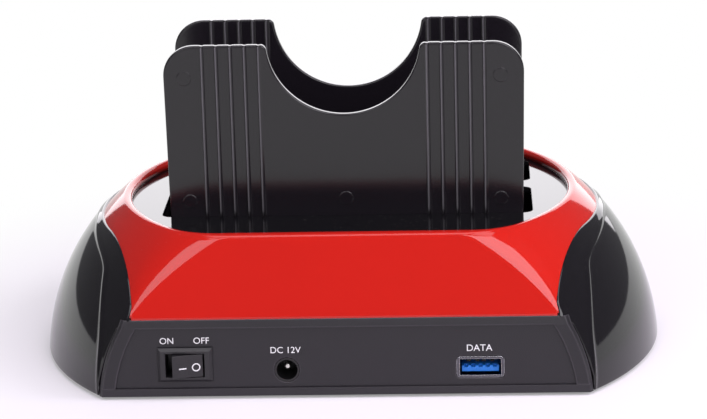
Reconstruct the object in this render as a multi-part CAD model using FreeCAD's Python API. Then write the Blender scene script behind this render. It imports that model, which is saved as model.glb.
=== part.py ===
import FreeCAD, Part
import math
import os

from FreeCAD import Vector

# Two-bay hard drive dock. Millimetres, +Z up, ports face -Y, +X to the right of a viewer of the ports.
# The origin lies on the ground under the centre of the footprint. Heights named "..._height" are
# measured from the casing's bottom edge, which the rubber feet hold above the ground.

# Feet
foot_standoff = 1.0
foot_radius = 6.0
foot_seat_depth = 0.8

# Casing: a turned body, narrower towards its crest, cut by a flat face at the front and the rear
base_radius = 97.4
mid_setback = 6.4
mid_radius = base_radius - mid_setback
mid_height = 24.0
crest_setback = 24.0
crest_radius = base_radius - crest_setback
crest_height = 47.0
base_half_depth = 63.7
lip_recess = 0.5
lip_half_depth = base_half_depth - lip_recess
lip_height = 21.3
band_recess = 1.2
band_half_depth = base_half_depth - band_recess
band_height = 23.8
crest_recess = 7.8
crest_half_depth = base_half_depth - crest_recess

# Places of the feet under the casing
foot_side_margin = 27.4
foot_x = base_radius - foot_side_margin
foot_face_margin = 25.7
foot_y = base_half_depth - foot_face_margin

# Bottom cover
cover_thickness = 2.0
cover_rim_height = 2.4
cover_pocket_inset = 9.0
vent_count = 6
vent_length = 16.0
vent_width = 2.0
vent_pitch = 7.0
vent_row_y = 18.0

# Side caps, which stand proud of the upper shell along an arched seam
cap_wall = 1.5
cap_gap = 0.15
cap_corner_wrap = 2.142
cap_seam_x = math.sqrt(mid_radius ** 2 - band_half_depth ** 2) - cap_corner_wrap
cap_seam_width = 10.0
cap_shoulder_height = 26.0
cap_top_drop = 4.6
cap_top_height = crest_height - cap_top_drop
cap_peg_radius = 2.0
cap_peg_y = 26.0
cap_peg_height = 12.0
cap_peg_reach = 3.0

# Lower housing, with a shallow panel let into its front and rear faces
housing_wall = 2.0
face_wall = 2.5
face_lip = 1.2
panel_depth = 0.6
panel_border = 3.0

# Upper shell with its rounded rim
shell_inset = 0.6
shell_wall = 2.2
shell_corner_low = 1.5
shell_corner_high = 11.0
rim_rise = 1.0
rim_top_height = crest_height + rim_rise
rim_side_width = 4.4
rim_inner_radius = crest_radius - rim_side_width
rim_face_width = 4.3
rim_inner_half_depth = crest_half_depth - rim_face_width
rim_corner_radius = 18.0
rim_outer_round = 1.3
rim_inner_round = 0.6

# Deck inside the rim
deck_sink = 2.7
deck_height = rim_top_height - deck_sink
deck_thickness = 2.0
deck_flange = 1.6
deck_boss_radius = 2.4

# Drive bays
bay_depth = 30.2
bay_pitch = 37.5
bay_front_share = 0.2549296
bay_free_depth = 2 * rim_inner_half_depth - bay_depth - bay_pitch
bay_front_y = rim_inner_half_depth - bay_front_share * bay_free_depth
bay_rear_y = bay_front_y - bay_depth - bay_pitch
bay_corner_reach = 3.18152
bay_length = 2 * (math.sqrt(rim_inner_radius ** 2 - bay_front_y ** 2) + bay_corner_reach)
bay_corner_radius = 3.0
bay_rim_margin = 1.5

# Bay wells under the deck
well_side_room = 1.0
well_hinge_room = 4.15
well_wall = 1.4
well_floor_height = 11.0
well_floor_thickness = 1.6
well_clip_margin = 3.4
well_clip_radius = rim_inner_radius + well_clip_margin
well_leg_width = 6.0
tab_size = 5.6
tab_thickness = 2.0
tab_drop = 7.0
tab_height = deck_height - tab_drop
tab_wall_gap = 0.2
tab_offsets = (6.2, 18.2)
ledge_height = 20.0
ledge_drop = 4.0
ledge_end_gap = 7.5
ledge_outer_x = bay_length / 2 - ledge_end_gap
ledge_length = 30.0
ledge_inner_x = ledge_outer_x - ledge_length

# Guide plates behind the drives
plate_gap = 0.15
plate_thickness = 2.4
plate_side_gap = 2.2
plate_half_width = bay_length / 2 - plate_side_gap
plate_taper = 0.7
plate_foot_half_width = plate_half_width - plate_taper
plate_top_height = 99.3
plate_corner_radius = 9.5
grip_radius = 23.6
grip_depth = 22.0
grip_corner_radius = 2.0
rib_count = 5
rib_pitch = 4.37
rib_group_inset = 20.9
rib_group_x = plate_half_width - rib_group_inset
rib_width = 1.3
rib_proud = 0.7
rib_root = 0.1
rib_foot_gap = 0.3
plate_screw_inset = 20.0
plate_screw_x = ledge_outer_x - plate_screw_inset
plate_screw_height = 30.0

# Bay flaps, each on a steel pin with two torsion springs
flap_end_gap = 4.5
flap_half_length = bay_length / 2 - flap_end_gap
flap_thickness = 1.6
flap_edge_gap = 0.6
flap_top_gap = 0.3
knuckle_radius = 2.0
knuckle_wall_gap = 0.35
hinge_pin_radius = 1.0
hinge_running_gap = 0.05
bracket_gap = 0.3
bracket_thickness = 2.0
spring_end_margin = 9.0
spring_bay_x = flap_half_length - spring_end_margin
spring_bay_length = 6.0
spring_inner_gap = 0.2
spring_wire = 0.6
spring_end_gap = 0.3
spring_leg_length = 9.0
notch_end_margin = 5.5
notch_left_x = notch_end_margin - flap_half_length
notch_length = 72.0
notch_right_x = notch_left_x + notch_length
notch_depth = 10.5

# Screw posts at the corners of the casing
case_post_face_margin = 13.7
case_post_y = base_half_depth - case_post_face_margin
case_post_outset = 4.7025
case_post_x = math.sqrt((crest_radius + case_post_outset) ** 2 - case_post_y ** 2)

# Main board
board_post_margin = 10.0
board_half_length = case_post_x - board_post_margin
board_rear_gap = 3.2
board_rear_y = board_rear_gap - base_half_depth
board_front_gap = 11.7
board_front_y = base_half_depth - board_front_gap
board_thickness = 1.6
board_underside_height = 3.0
board_screw_side_margin = 6.0
board_screw_x = board_half_length - board_screw_side_margin
board_screw_rear_margin = 28.5
board_screw_rear_y = board_rear_y + board_screw_rear_margin
board_screw_front_margin = 8.0
board_screw_front_y = board_front_y - board_screw_front_margin
board_screw_floor = 0.5

# Drive connectors
connector_centre_x = -20.0
connector_length = 44.0
connector_width = 6.4
connector_top_height = 16.0
connector_plate_offset = 5.0
connector_slot_width = 1.9
connector_slot_depth = 6.0
connector_floor_gap = 0.6
signal_slot_length = 10.4
power_slot_length = 20.8
slot_separation = 2.6
contact_pitch = 1.27
signal_contacts = 7
power_contacts = 15
contact_width = 0.6
contact_thickness = 0.3

# Ports on the rear face
jack_height = 7.85
switch_post_gap = 12.0
switch_x = switch_post_gap - case_post_x
data_post_gap = 19.3
data_x = case_post_x - data_post_gap
switch_height = 9.95
bezel_length = 16.5
bezel_width = 10.6
bezel_proud = 1.4
bezel_flange = 1.0
bezel_seat_gap = 0.05
bezel_bevel = 0.9
switch_body_length = 13.2
switch_body_width = 9.2
switch_body_depth = 13.0
switch_cut_gap = 0.15
rocker_mouth_length = 11.8
rocker_mouth_width = 7.5
rocker_length = 9.3
rocker_gap = 0.25
rocker_pivot_depth = 2.6
rocker_face = 3.4
rocker_dish = 3.0
rocker_back = 2.6
rocker_taper = 0.8
rocker_tilt = 14.0
trunnion_radius = 0.8
trunnion_reach = 0.55
mouth_depth = 7.5
terminal_length = 3.2
terminal_width = 2.8
terminal_thickness = 0.6
terminal_spread = 3.2

jack_share = 0.344983
jack_x = switch_x + jack_share * (data_x - switch_x)
jack_nose_radius = 3.75
jack_bore_radius = 3.15
jack_bore_depth = 10.0
jack_body_width = 9.0
jack_body_length = 12.0
jack_pin_radius = 1.0
jack_pin_length = 6.8
jack_pin_round = 0.6
jack_cut_gap = 0.1
jack_spring_thickness = 0.3
jack_spring_width = 1.6
jack_spring_length = 7.0

data_height = 8.1
data_flange_length = 14.3
data_flange_width = 6.6
data_shell_length = 13.1
data_shell_width = 5.8
data_shell_wall = 0.35
data_shell_depth = 17.0
data_flange_depth = 0.8
data_flange_round = 1.3
data_cut_gap = 0.2
data_tongue_thickness = 1.8
data_tongue_length = 11.1
data_tongue_depth = 9.0
data_tongue_rise = -1.0
data_back_depth = 6.0
data_foot_start = 8.5
data_foot_length = 2.5
data_contact_offsets = (1.0, 3.6)
data_notch_count = 5
data_notch_pitch = 2.15
data_notch_width = 1.2
data_notch_length = 1.8
data_notch_depth = 0.5
data_contact_width = 1.1
data_contact_thickness = 0.2
data_contact_length = 4.6

# Status lights on the front face
light_count = 3
light_pitch = 12.0
light_radius = 1.5
light_flange_radius = 2.3
light_flange_thickness = 0.8
light_air_gap = 0.4
light_proud = 0.2
light_height = 7.0
led_base = 4.0
led_dome_length = 3.2
led_dome_round = 1.2

# Board components, as length, width, height, and their places: X, and distance from the board's rear edge
bridge_chip = (12.0, 12.0, 1.2)
bridge_places = ((22.0, 20.5), (20.0, 60.5))
memory_chip = (5.2, 6.0, 1.6)
memory_places = ((8.0, 20.5), (36.0, 62.5))
regulator_chip = (6.5, 6.0, 2.2)
regulator_places = ((-8.0, 22.5),)
chip_bevel = 0.15
capacitor_radius = 3.15
capacitor_length = 7.5
capacitor_round = 0.4
capacitor_places = ((-30.0, 16.5), (-21.0, 20.5), (36.0, 22.5))
inductor_size = (7.0, 7.0, 3.6)
inductor_corner = 0.9
inductor_places = ((1.0, 10.5), (12.0, 10.5))

# Screws
case_post_radius = 3.6
case_boss_height = 12.0
case_screw_radius = 1.4
case_screw_head_radius = 2.8
case_screw_head_height = 2.0
case_screw_sink = 4.0
case_screw_bite = 8.0
case_bore_spare = 1.0
small_screw_radius = 0.9
small_screw_head_radius = 1.9
small_screw_head_height = 1.2
small_screw_bite = 3.5
screw_hole_gap = 0.3
thread_gap = 0.05
standoff_radius = 3.2

# How far a cutting tool runs past the face that it cuts, and how near counts as touching
cut_past = 1.0
near = 0.01


def height(value):
    """A height above the casing's bottom edge as a Z coordinate."""
    return foot_standoff + value


def box(x0, x1, y0, y1, z0, z1):
    """A block between two corners."""
    return Part.makeBox(x1 - x0, y1 - y0, z1 - z0, Vector(x0, y0, z0))


def rod(start, direction, radius, length):
    """A cylinder from a start point along a direction."""
    return Part.makeCylinder(radius, length, Vector(*start), Vector(*direction))


def prism(points, direction):
    """A closed polygon swept along a straight direction."""
    corners = [Vector(*p) for p in points]
    return Part.Face(Part.makePolygon(corners + corners[:1])).extrude(Vector(*direction))


def fuse(first, others):
    """One solid from several that touch or overlap."""
    return first.fuse(others).removeSplitter()


def mirror_x(shape):
    """The left-right twin of a shape."""
    return shape.mirror(Vector(0, 0, 0), Vector(1, 0, 0))


def edges_where(shape, test):
    """The edges whose middle point passes a test."""
    found = []
    for edge in shape.Edges:
        middle = edge.valueAt((edge.FirstParameter + edge.LastParameter) / 2)
        if test(middle, edge):
            found.append(edge)
    return found


def upright(edge):
    """Whether an edge runs straight up."""
    if edge.Curve.TypeId != "Part::GeomLine":
        return False
    direction = edge.Curve.Direction
    return abs(direction.z) > 0.999


def flank_circle():
    """Centre (radius, height) and radius of the arc through the base, middle and crest points."""
    (ax, ay), (bx, by), (cx, cy) = (
        (base_radius, 0.0), (mid_radius, mid_height), (crest_radius, crest_height))
    d = 2 * (ax * (by - cy) + bx * (cy - ay) + cx * (ay - by))
    a2, b2, c2 = ax * ax + ay * ay, bx * bx + by * by, cx * cx + cy * cy
    ux = (a2 * (by - cy) + b2 * (cy - ay) + c2 * (ay - by)) / d
    uy = (a2 * (cx - bx) + b2 * (ax - cx) + c2 * (bx - ax)) / d
    return ux, uy, math.hypot(ax - ux, ay - uy)


FLANK_X, FLANK_H, FLANK_R = flank_circle()


def flank(h, inset=0.0):
    """Radius of the turned casing at a height, moved inwards by an inset."""
    return FLANK_X + math.sqrt((FLANK_R - inset) ** 2 - (h - FLANK_H) ** 2)


def turned(inset, low, high):
    """The turned casing's solid between two heights, moved inwards by an inset."""
    middle = (low + high) / 2
    foot = Vector(flank(low, inset), 0, height(low))
    waist = Vector(flank(middle, inset), 0, height(middle))
    head = Vector(flank(high, inset), 0, height(high))
    axis_low = Vector(0, 0, height(low))
    axis_high = Vector(0, 0, height(high))
    outline = Part.Wire([
        Part.makeLine(axis_low, foot),
        Part.Arc(foot, waist, head).toShape(),
        Part.makeLine(head, axis_high),
        Part.makeLine(axis_high, axis_low)])
    return Part.Face(outline).revolve(Vector(0, 0, 0), Vector(0, 0, 1), 360)


def half_depth(h, inset=0.0):
    """Distance from the centre to the front or rear face at a height, moved inwards by an inset."""
    levels = (
        (0.0, base_half_depth),
        (lip_height, lip_half_depth),
        (band_height, band_half_depth),
        (crest_height, crest_half_depth))
    index = 0
    while index < len(levels) - 2 and h > levels[index + 1][0]:
        index += 1
    (h0, y0), (h1, y1) = levels[index], levels[index + 1]
    slope = (y1 - y0) / (h1 - h0)
    return y0 + slope * (h - h0) - inset * math.hypot(1.0, slope)


def slab(inset, low, high):
    """The space between the front and rear faces, right across the casing."""
    levels = [low] + [h for h in (lip_height, band_height) if low < h < high] + [high]
    reach = 2 * base_radius
    front = [(-reach / 2, half_depth(h, inset), height(h)) for h in levels]
    rear = [(-reach / 2, -half_depth(h, inset), height(h)) for h in reversed(levels)]
    return prism(front + rear, (reach, 0, 0))


def casing(turned_inset, face_inset, low, high):
    """The casing's solid between two heights."""
    return turned(turned_inset, low, high).common(slab(face_inset, low, high))


def oval(radius, half_width, corner, low, high):
    """An upright block: a disc cut flat at the front and rear, with rounded corners."""
    disc = rod((0, 0, height(low)), (0, 0, 1), radius, high - low)
    block = disc.common(box(-radius, radius, -half_width, half_width, height(low), height(high)))
    return block.makeFillet(corner, edges_where(block, lambda m, e: upright(e)))


def cap_region(grow):
    """Everything beyond the right cap's seam, seen from the front, grown by a gap."""
    left = cap_seam_x - grow
    shoulder = height(cap_shoulder_height)
    top = height(cap_top_height) + grow
    turn = cap_seam_x + cap_seam_width
    reach = 2 * base_radius
    y = -base_radius
    width = turn - left
    rise = top - shoulder
    centre, across, up = Vector(turn, y, shoulder), Vector(left, y, shoulder), Vector(turn, y, top)
    quarter = Part.Ellipse(up, across, centre) if rise > width else Part.Ellipse(across, up, centre)
    arc = quarter_arc(quarter, across, up)
    corners = [up, Vector(reach, y, top), Vector(reach, y, -base_radius),
               Vector(left, y, -base_radius), across]
    lines = [Part.makeLine(a, b) for a, b in zip(corners, corners[1:])]
    face = Part.Face(Part.Wire([arc] + lines))
    return face.extrude(Vector(0, 2 * base_radius, 0))


def quarter_arc(curve, start, end):
    """The shorter stretch of a closed curve between two points on it."""
    a, b = curve.parameter(start), curve.parameter(end)
    full = curve.LastParameter - curve.FirstParameter
    if (b - a) % full > full / 2:
        a, b = b, a
    if b < a:
        b += full
    return curve.toShape(a, b)


def side_cap():
    """The right-hand glossy cap: a skin of the turned body beyond its seam, with two pegs."""
    low = turned(0, 0, band_height).cut(turned(cap_wall, 0, band_height))
    low = low.common(slab(face_lip + cap_gap, 0, band_height))
    high = turned(0, band_height, cap_top_height).cut(turned(cap_wall, band_height, cap_top_height))
    high = high.common(slab(0, band_height, cap_top_height))
    cap = fuse(low, [high]).common(cap_region(0))
    pegs = []
    for y in (-cap_peg_y, cap_peg_y):
        wall = flank(cap_peg_height, cap_wall)
        seat = math.sqrt(wall ** 2 - y ** 2)
        inner = seat - cap_gap - housing_wall - cap_peg_reach
        pegs.append(rod((inner, y, height(cap_peg_height)), (1, 0, 0), cap_peg_radius,
                        seat - inner + cap_wall / 2))
    return fuse(cap, pegs)


def corner_posts(radius, low, high):
    """Four upright rods at the casing's screw places."""
    posts = []
    for x in (-case_post_x, case_post_x):
        for y in (-case_post_y, case_post_y):
            posts.append(rod((x, y, height(low)), (0, 0, 1), radius, high - low))
    return posts


def standoff_places():
    """Centres of the four board screws."""
    return [(x, y) for x in (-board_screw_x, board_screw_x)
            for y in (board_screw_rear_y, board_screw_front_y)]


def corner_lips(low, high):
    """The thin front and rear sheets that reach the corners, in front of the caps' edges."""
    return casing(cap_gap, 0, low, high).cut(slab(face_lip, low, high))


def bottom_cover():
    """The base plate, with foot seats, vents, screw bosses and board standoffs."""
    under_cap = cap_wall + cap_gap
    plate = fuse(casing(under_cap, 0, 0, cover_rim_height), [corner_lips(0, cover_rim_height)])
    pocket = casing(under_cap + cover_pocket_inset, cover_pocket_inset, cover_thickness, cover_rim_height)
    plate = plate.cut(pocket)
    bosses = corner_posts(case_post_radius + thread_gap, cover_thickness / 2, case_boss_height)
    for x, y in standoff_places():
        bosses.append(rod((x, y, height(cover_thickness / 2)), (0, 0, 1), standoff_radius,
                          board_underside_height - cover_thickness / 2))
    plate = fuse(plate, bosses)
    holes = []
    for x in (-foot_x, foot_x):
        for y in (-foot_y, foot_y):
            holes.append(rod((x, y, height(0)), (0, 0, 1), foot_radius, foot_seat_depth))
    holes += corner_posts(case_screw_head_radius + screw_hole_gap, 0, case_screw_sink)
    holes += corner_posts(case_screw_radius + screw_hole_gap, 0, case_boss_height)
    for x, y in standoff_places():
        holes.append(rod((x, y, height(board_screw_floor)), (0, 0, 1), small_screw_radius,
                         board_underside_height - board_screw_floor))
    for row in (-vent_row_y, vent_row_y):
        for index in range(vent_count):
            x = (index - (vent_count - 1) / 2) * vent_pitch
            holes.append(box(x - vent_width / 2, x + vent_width / 2, row - vent_length / 2,
                             row + vent_length / 2, height(0), height(cover_rim_height)))
    return plate.cut(holes)


def rubber_feet():
    """Four round feet let into the base plate."""
    feet = []
    for x in (-foot_x, foot_x):
        for y in (-foot_y, foot_y):
            foot = rod((x, y, 0), (0, 0, 1), foot_radius, foot_standoff + foot_seat_depth)
            rim = edges_where(foot, lambda m, e: abs(m.z) < 0.01 and e.Curve.TypeId == "Part::GeomCircle")
            feet.append(foot.makeFillet(foot_standoff / 2, rim))
    return Part.makeCompound(feet)


def rear_face(h):
    """Y of the sunk panel on the rear face at a height."""
    return -half_depth(h, panel_depth)


def light_places():
    """X of each status light."""
    return [(index - (light_count - 1) / 2) * light_pitch for index in range(light_count)]


def lower_housing():
    """The matt ring wall, with sunk panels, port openings, cap peg holes and light holes."""
    under_cap = cap_wall + cap_gap
    ring = fuse(casing(under_cap, 0, cover_rim_height, band_height),
                [corner_lips(cover_rim_height, band_height)])
    hollow = casing(under_cap + housing_wall, face_wall, cover_rim_height, band_height)
    ring = ring.cut(hollow)
    tall_panel = turned(panel_border, cover_rim_height, lip_height)
    sunk = tall_panel.cut(slab(panel_depth, cover_rim_height, lip_height))
    cuts = [sunk]
    outside = -base_half_depth - bezel_proud
    inside = outside + bezel_proud + 2 * face_wall
    half_l = switch_body_length / 2 + switch_cut_gap
    half_w = switch_body_width / 2 + switch_cut_gap
    cuts.append(box(switch_x - half_l, switch_x + half_l, outside, inside,
                    height(switch_height) - half_w, height(switch_height) + half_w))
    cuts.append(rod((jack_x, outside, height(jack_height)), (0, 1, 0), jack_nose_radius + jack_cut_gap,
                    inside - outside))
    half_l = data_flange_length / 2 + data_cut_gap
    half_w = data_flange_width / 2 + data_cut_gap
    window = box(data_x - half_l, data_x + half_l, outside, inside,
                 height(data_height) - half_w, height(data_height) + half_w)
    cuts.append(window.makeFillet(data_flange_round + data_cut_gap, edges_where(
        window, lambda m, e: abs(e.tangentAt(e.FirstParameter).y) > 0.999)))
    for x in light_places():
        cuts.append(rod((x, base_half_depth - 2 * face_wall, height(light_height)), (0, 1, 0),
                        light_radius + thread_gap, 3 * face_wall))
    for y in (-cap_peg_y, cap_peg_y):
        cuts.append(rod((-base_radius, y, height(cap_peg_height)), (1, 0, 0),
                        cap_peg_radius + thread_gap, 2 * base_radius))
    return ring.cut(cuts)


def upper_shell():
    """The red shell: turned body with flat faces, soft corners and a rounded rim."""
    body = casing(shell_inset, 0, band_height, rim_top_height)

    def is_corner(m, e):
        h = m.z - foot_standoff
        between = band_height + near < h < rim_top_height - near
        return between and abs(abs(m.y) - half_depth(h)) < shell_inset

    corners = edges_where(body, is_corner)
    rising = corners[0].Vertexes[0].Z < corners[0].Vertexes[-1].Z
    radii = (shell_corner_low, shell_corner_high) if rising else (shell_corner_high, shell_corner_low)
    body = body.makeFillet(*radii, corners)
    top = edges_where(body, lambda m, e: abs(m.z - height(rim_top_height)) < near)
    body = body.makeFillet(rim_outer_round, top)
    mouth = oval(rim_inner_radius, rim_inner_half_depth, rim_corner_radius, deck_height,
                 rim_top_height + cut_past)
    body = body.cut(mouth)
    lip = edges_where(body, lambda m, e: abs(m.z - height(rim_top_height)) < near)
    body = body.makeFillet(rim_inner_round, lip)
    cavity = casing(shell_inset + shell_wall, shell_wall, band_height, deck_height)
    body = body.cut(cavity)
    under_cap = cap_wall + cap_gap
    skin = turned(-cut_past, band_height, crest_height).cut(turned(under_cap, band_height, crest_height))
    right = skin.common(cap_region(cap_gap))
    body = body.cut([right, mirror_x(right)])
    posts = [post.common(turned(shell_inset + shell_wall / 2, case_boss_height, rim_top_height))
             for post in corner_posts(case_post_radius, case_boss_height, deck_height - deck_thickness)]
    body = fuse(body, posts)
    bores = corner_posts(case_screw_radius, case_boss_height,
                         case_boss_height + case_screw_bite + case_bore_spare)
    return body.cut(bores)


def bay_start(bay):
    """Y of the rear edge of a bay opening; bay 0 is the rear one."""
    return bay_rear_y + bay * bay_pitch


def bay_opening(bay, low, high):
    """The space of one bay's opening through the deck."""
    y = bay_start(bay)
    half = bay_length / 2
    block = box(-half, half, y, y + bay_depth, height(low), height(high))
    block = block.makeFillet(bay_corner_radius, edges_where(block, lambda m, e: upright(e)))
    inside = oval(rim_inner_radius - bay_rim_margin, rim_inner_half_depth - bay_rim_margin,
                  rim_corner_radius, low, high)
    return block.common(inside)


def tab_places(bay):
    """Centres of the four screw tabs at the ends of a well."""
    x = bay_length / 2 + well_side_room + well_wall + tab_wall_gap + deck_boss_radius
    return [(side * x, bay_start(bay) + offset) for side in (-1, 1) for offset in tab_offsets]


def top_deck():
    """The glossy deck with two bay openings and the bosses that the wells screw into."""
    low = deck_height - deck_thickness
    deck = oval(rim_inner_radius + deck_flange, rim_inner_half_depth + deck_flange,
                rim_corner_radius, low, deck_height)
    for bay in (0, 1):
        deck = deck.cut(bay_opening(bay, low, deck_height))
    bosses = []
    bores = []
    for bay in (0, 1):
        for x, y in tab_places(bay):
            bosses.append(rod((x, y, height(tab_height)), (0, 0, 1), deck_boss_radius, low - tab_height))
            bores.append(rod((x, y, height(tab_height)), (0, 0, 1), small_screw_radius, low - tab_height))
    return fuse(deck, bosses).cut(bores)


def hinge_y(bay):
    """Y of a flap's hinge axis."""
    return bay_start(bay) + bay_depth + well_hinge_room - knuckle_wall_gap - knuckle_radius


def hinge_z():
    """Z of the flaps' hinge axes."""
    return height(deck_height - deck_thickness - flap_top_gap - knuckle_radius)


def connector_y(bay):
    """Y of the middle of a bay's drive connector."""
    return bay_start(bay) + plate_gap + plate_thickness + connector_plate_offset


def bay_well(bay):
    """The open box under a bay, with hinge brackets, plate ledges, screw tabs and legs."""
    y0 = bay_start(bay)
    y1 = y0 + bay_depth + well_hinge_room
    half = bay_length / 2 + well_side_room
    top = deck_height - deck_thickness
    low = well_floor_height - well_floor_thickness
    outer = box(-half - well_wall, half + well_wall, y0 - well_wall, y1 + well_wall,
                height(low), height(top))
    inner = box(-half, half, y0, y1, height(well_floor_height), height(top))
    clip = rod((0, 0, height(low)), (0, 0, 1), well_clip_radius, top - low)
    clip_inner = rod((0, 0, height(low)), (0, 0, 1), well_clip_radius - well_wall, top - low)
    well = outer.common(clip).cut(inner.common(clip_inner))
    extras = []
    for side in (-1, 1):
        x0 = flap_half_length + bracket_gap
        xs = sorted((side * x0, side * (x0 + bracket_thickness)))
        bracket = box(xs[0], xs[1], hinge_y(bay) - knuckle_radius, y1 + well_wall / 2,
                      hinge_z() - knuckle_radius, height(top))
        extras.append(bracket.common(clip))
        xs = sorted((side * ledge_inner_x, side * ledge_outer_x))
        extras.append(box(xs[0], xs[1], y0 - well_wall / 2, y0 + plate_gap + plate_thickness,
                          height(ledge_height - ledge_drop), height(ledge_height)))
        leg_x = sorted((side * half, side * (half + well_wall)))
        leg_front = y0 + bay_depth - 2 * well_leg_width
        for y in (y0, leg_front):
            extras.append(box(leg_x[0], leg_x[1], y, y + well_leg_width,
                              height(cover_thickness), height(well_floor_height)))
    for x, y in tab_places(bay):
        xs = sorted((math.copysign(half + well_wall / 2, x), x + math.copysign(tab_size / 2, x)))
        extras.append(box(xs[0], xs[1], y - tab_size / 2, y + tab_size / 2,
                          height(tab_height - tab_thickness), height(tab_height)))
    well = fuse(well, extras)
    holes = [rod((-half, hinge_y(bay), hinge_z()), (1, 0, 0), hinge_pin_radius, 2 * half)]
    half_l = connector_length / 2 + connector_floor_gap
    half_w = connector_width / 2 + connector_floor_gap
    holes.append(box(connector_centre_x - half_l, connector_centre_x + half_l,
                     connector_y(bay) - half_w, connector_y(bay) + half_w,
                     height(low), height(well_floor_height)))
    for x, y in tab_places(bay):
        holes.append(rod((x, y, height(tab_height - tab_thickness)), (0, 0, 1),
                         small_screw_radius + screw_hole_gap, tab_thickness))
    for x in (-plate_screw_x, plate_screw_x):
        holes.append(rod((x, y0 - well_wall, height(plate_screw_height)), (0, 1, 0),
                         small_screw_radius, well_wall))
    return well.cut(holes)


def plate_outline(rear):
    """The guide plate's front-view face: tapered sides, rounded shoulders and a round finger grip."""
    top = height(plate_top_height)
    deck = height(deck_height)
    foot = height(ledge_height)
    y = rear
    grip_centre = top - grip_depth + grip_radius
    grip_half = math.sqrt(grip_radius ** 2 - (grip_centre - top) ** 2)
    shape = prism([
        (-plate_foot_half_width, y, foot), (plate_foot_half_width, y, foot),
        (plate_foot_half_width, y, deck), (plate_half_width, y, top),
        (-plate_half_width, y, top), (-plate_foot_half_width, y, deck)], (0, plate_thickness, 0))
    shoulders = edges_where(
        shape, lambda m, e: abs(m.z - top) < near and abs(abs(m.x) - plate_half_width) < near)
    shape = shape.makeFillet(plate_corner_radius, shoulders)
    shape = shape.cut(rod((0, y, grip_centre), (0, 1, 0), grip_radius, plate_thickness))
    grips = edges_where(shape, lambda m, e: abs(m.z - top) < near and abs(abs(m.x) - grip_half) < near)
    return shape.makeFillet(grip_corner_radius, grips)


def rib_places():
    """X of each rib, both groups."""
    places = []
    for side in (-1, 1):
        for index in range(rib_count):
            places.append(side * rib_group_x + (index - (rib_count - 1) / 2) * rib_pitch)
    return places


def guide_plate(bay):
    """One upright plate, ribbed on its rear face, with two countersunk screw holes at its foot."""
    rear = bay_start(bay) + plate_gap
    plate = plate_outline(rear)
    low = height(deck_height + rib_foot_gap)
    ribs = []
    for x in rib_places():
        rib = prism([
            (x - rib_width / 2, rear + rib_root, low), (x + rib_width / 2, rear + rib_root, low),
            (x + rib_width / 4, rear - rib_proud, low), (x - rib_width / 4, rear - rib_proud, low)],
            (0, 0, height(plate_top_height) - low))
        ribs.append(rib)
    within = plate_outline(rear - rib_proud)
    plate = fuse(plate, [rib.common(within) for rib in ribs])
    bores = []
    for x, y, z in plate_screw_places(bay):
        bores.append(rod((x, y, z), (0, -1, 0), small_screw_radius + thread_gap, plate_thickness))
        bores.append(Part.makeCone(small_screw_head_radius + thread_gap, small_screw_radius + thread_gap,
                                   small_screw_head_radius - small_screw_radius,
                                   Vector(x, y, z), Vector(0, -1, 0)))
    return plate.cut(bores)


def plate_screw_places(bay):
    """Centres of a plate's two screw heads, flush with the face that the drive slides past."""
    y = bay_start(bay) + plate_gap + plate_thickness
    return [(x, y, height(plate_screw_height)) for x in (-plate_screw_x, plate_screw_x)]


def bay_flap(bay):
    """A hinged flap with knuckles, a notch for thin drives and room for its two springs."""
    axis_y, axis_z = hinge_y(bay), hinge_z()
    free = bay_start(bay) + plate_gap + plate_thickness + flap_edge_gap
    top = axis_z + knuckle_radius
    leaf = box(-flap_half_length, flap_half_length, free, axis_y, top - flap_thickness, top)
    barrel = rod((-flap_half_length, axis_y, axis_z), (1, 0, 0), knuckle_radius, 2 * flap_half_length)
    flap = fuse(leaf, [barrel])
    cuts = [rod((-flap_half_length, axis_y, axis_z), (1, 0, 0), hinge_pin_radius + hinge_running_gap,
                2 * flap_half_length)]
    for side in (-1, 1):
        xs = sorted((side * spring_bay_x, side * (spring_bay_x + spring_bay_length)))
        cuts.append(box(xs[0], xs[1], axis_y - knuckle_radius - spring_end_gap, axis_y + knuckle_radius,
                        axis_z - knuckle_radius, top))
    cuts.append(box(notch_left_x, notch_right_x, free, free + notch_depth, top - flap_thickness, top))
    return flap.cut(cuts)


def flap_pin(bay):
    """The steel hinge pin, held in the well's two brackets."""
    reach = flap_half_length + bracket_gap + bracket_thickness
    return rod((-reach, hinge_y(bay), hinge_z()), (1, 0, 0), hinge_pin_radius, 2 * reach)


def flap_springs(bay):
    """Two torsion springs round the pin, as sleeves, each with a leg under the flap."""
    axis_y, axis_z = hinge_y(bay), hinge_z()
    inner = hinge_pin_radius + spring_inner_gap
    outer = inner + spring_wire
    springs = []
    for side in (-1, 1):
        x0 = min(side * spring_bay_x, side * (spring_bay_x + spring_bay_length)) + spring_end_gap
        length = spring_bay_length - 2 * spring_end_gap
        coil = rod((x0, axis_y, axis_z), (1, 0, 0), outer, length)
        leg_z = axis_z + knuckle_radius - flap_thickness - spring_wire
        leg = box(x0, x0 + spring_wire, axis_y - spring_leg_length, axis_y - inner, leg_z, leg_z + spring_wire)
        coil = fuse(coil, [leg]).cut(rod((x0, axis_y, axis_z), (1, 0, 0), inner, length))
        springs.append(coil)
    return Part.makeCompound(springs)


def board_top():
    """Z of the main board's upper face."""
    return height(board_underside_height + board_thickness)


def main_board():
    """The circuit board on its four standoffs."""
    board = box(-board_half_length, board_half_length, board_rear_y, board_front_y,
                height(board_underside_height), board_top())
    holes = [rod((x, y, height(board_underside_height)), (0, 0, 1), small_screw_radius + screw_hole_gap,
                 board_thickness) for x, y in standoff_places()]
    return board.cut(holes)


def slot_starts():
    """X where the signal slot and the power slot of a drive connector start."""
    run = signal_slot_length + slot_separation + power_slot_length
    first = connector_centre_x - run / 2
    return first, first + signal_slot_length + slot_separation


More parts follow.
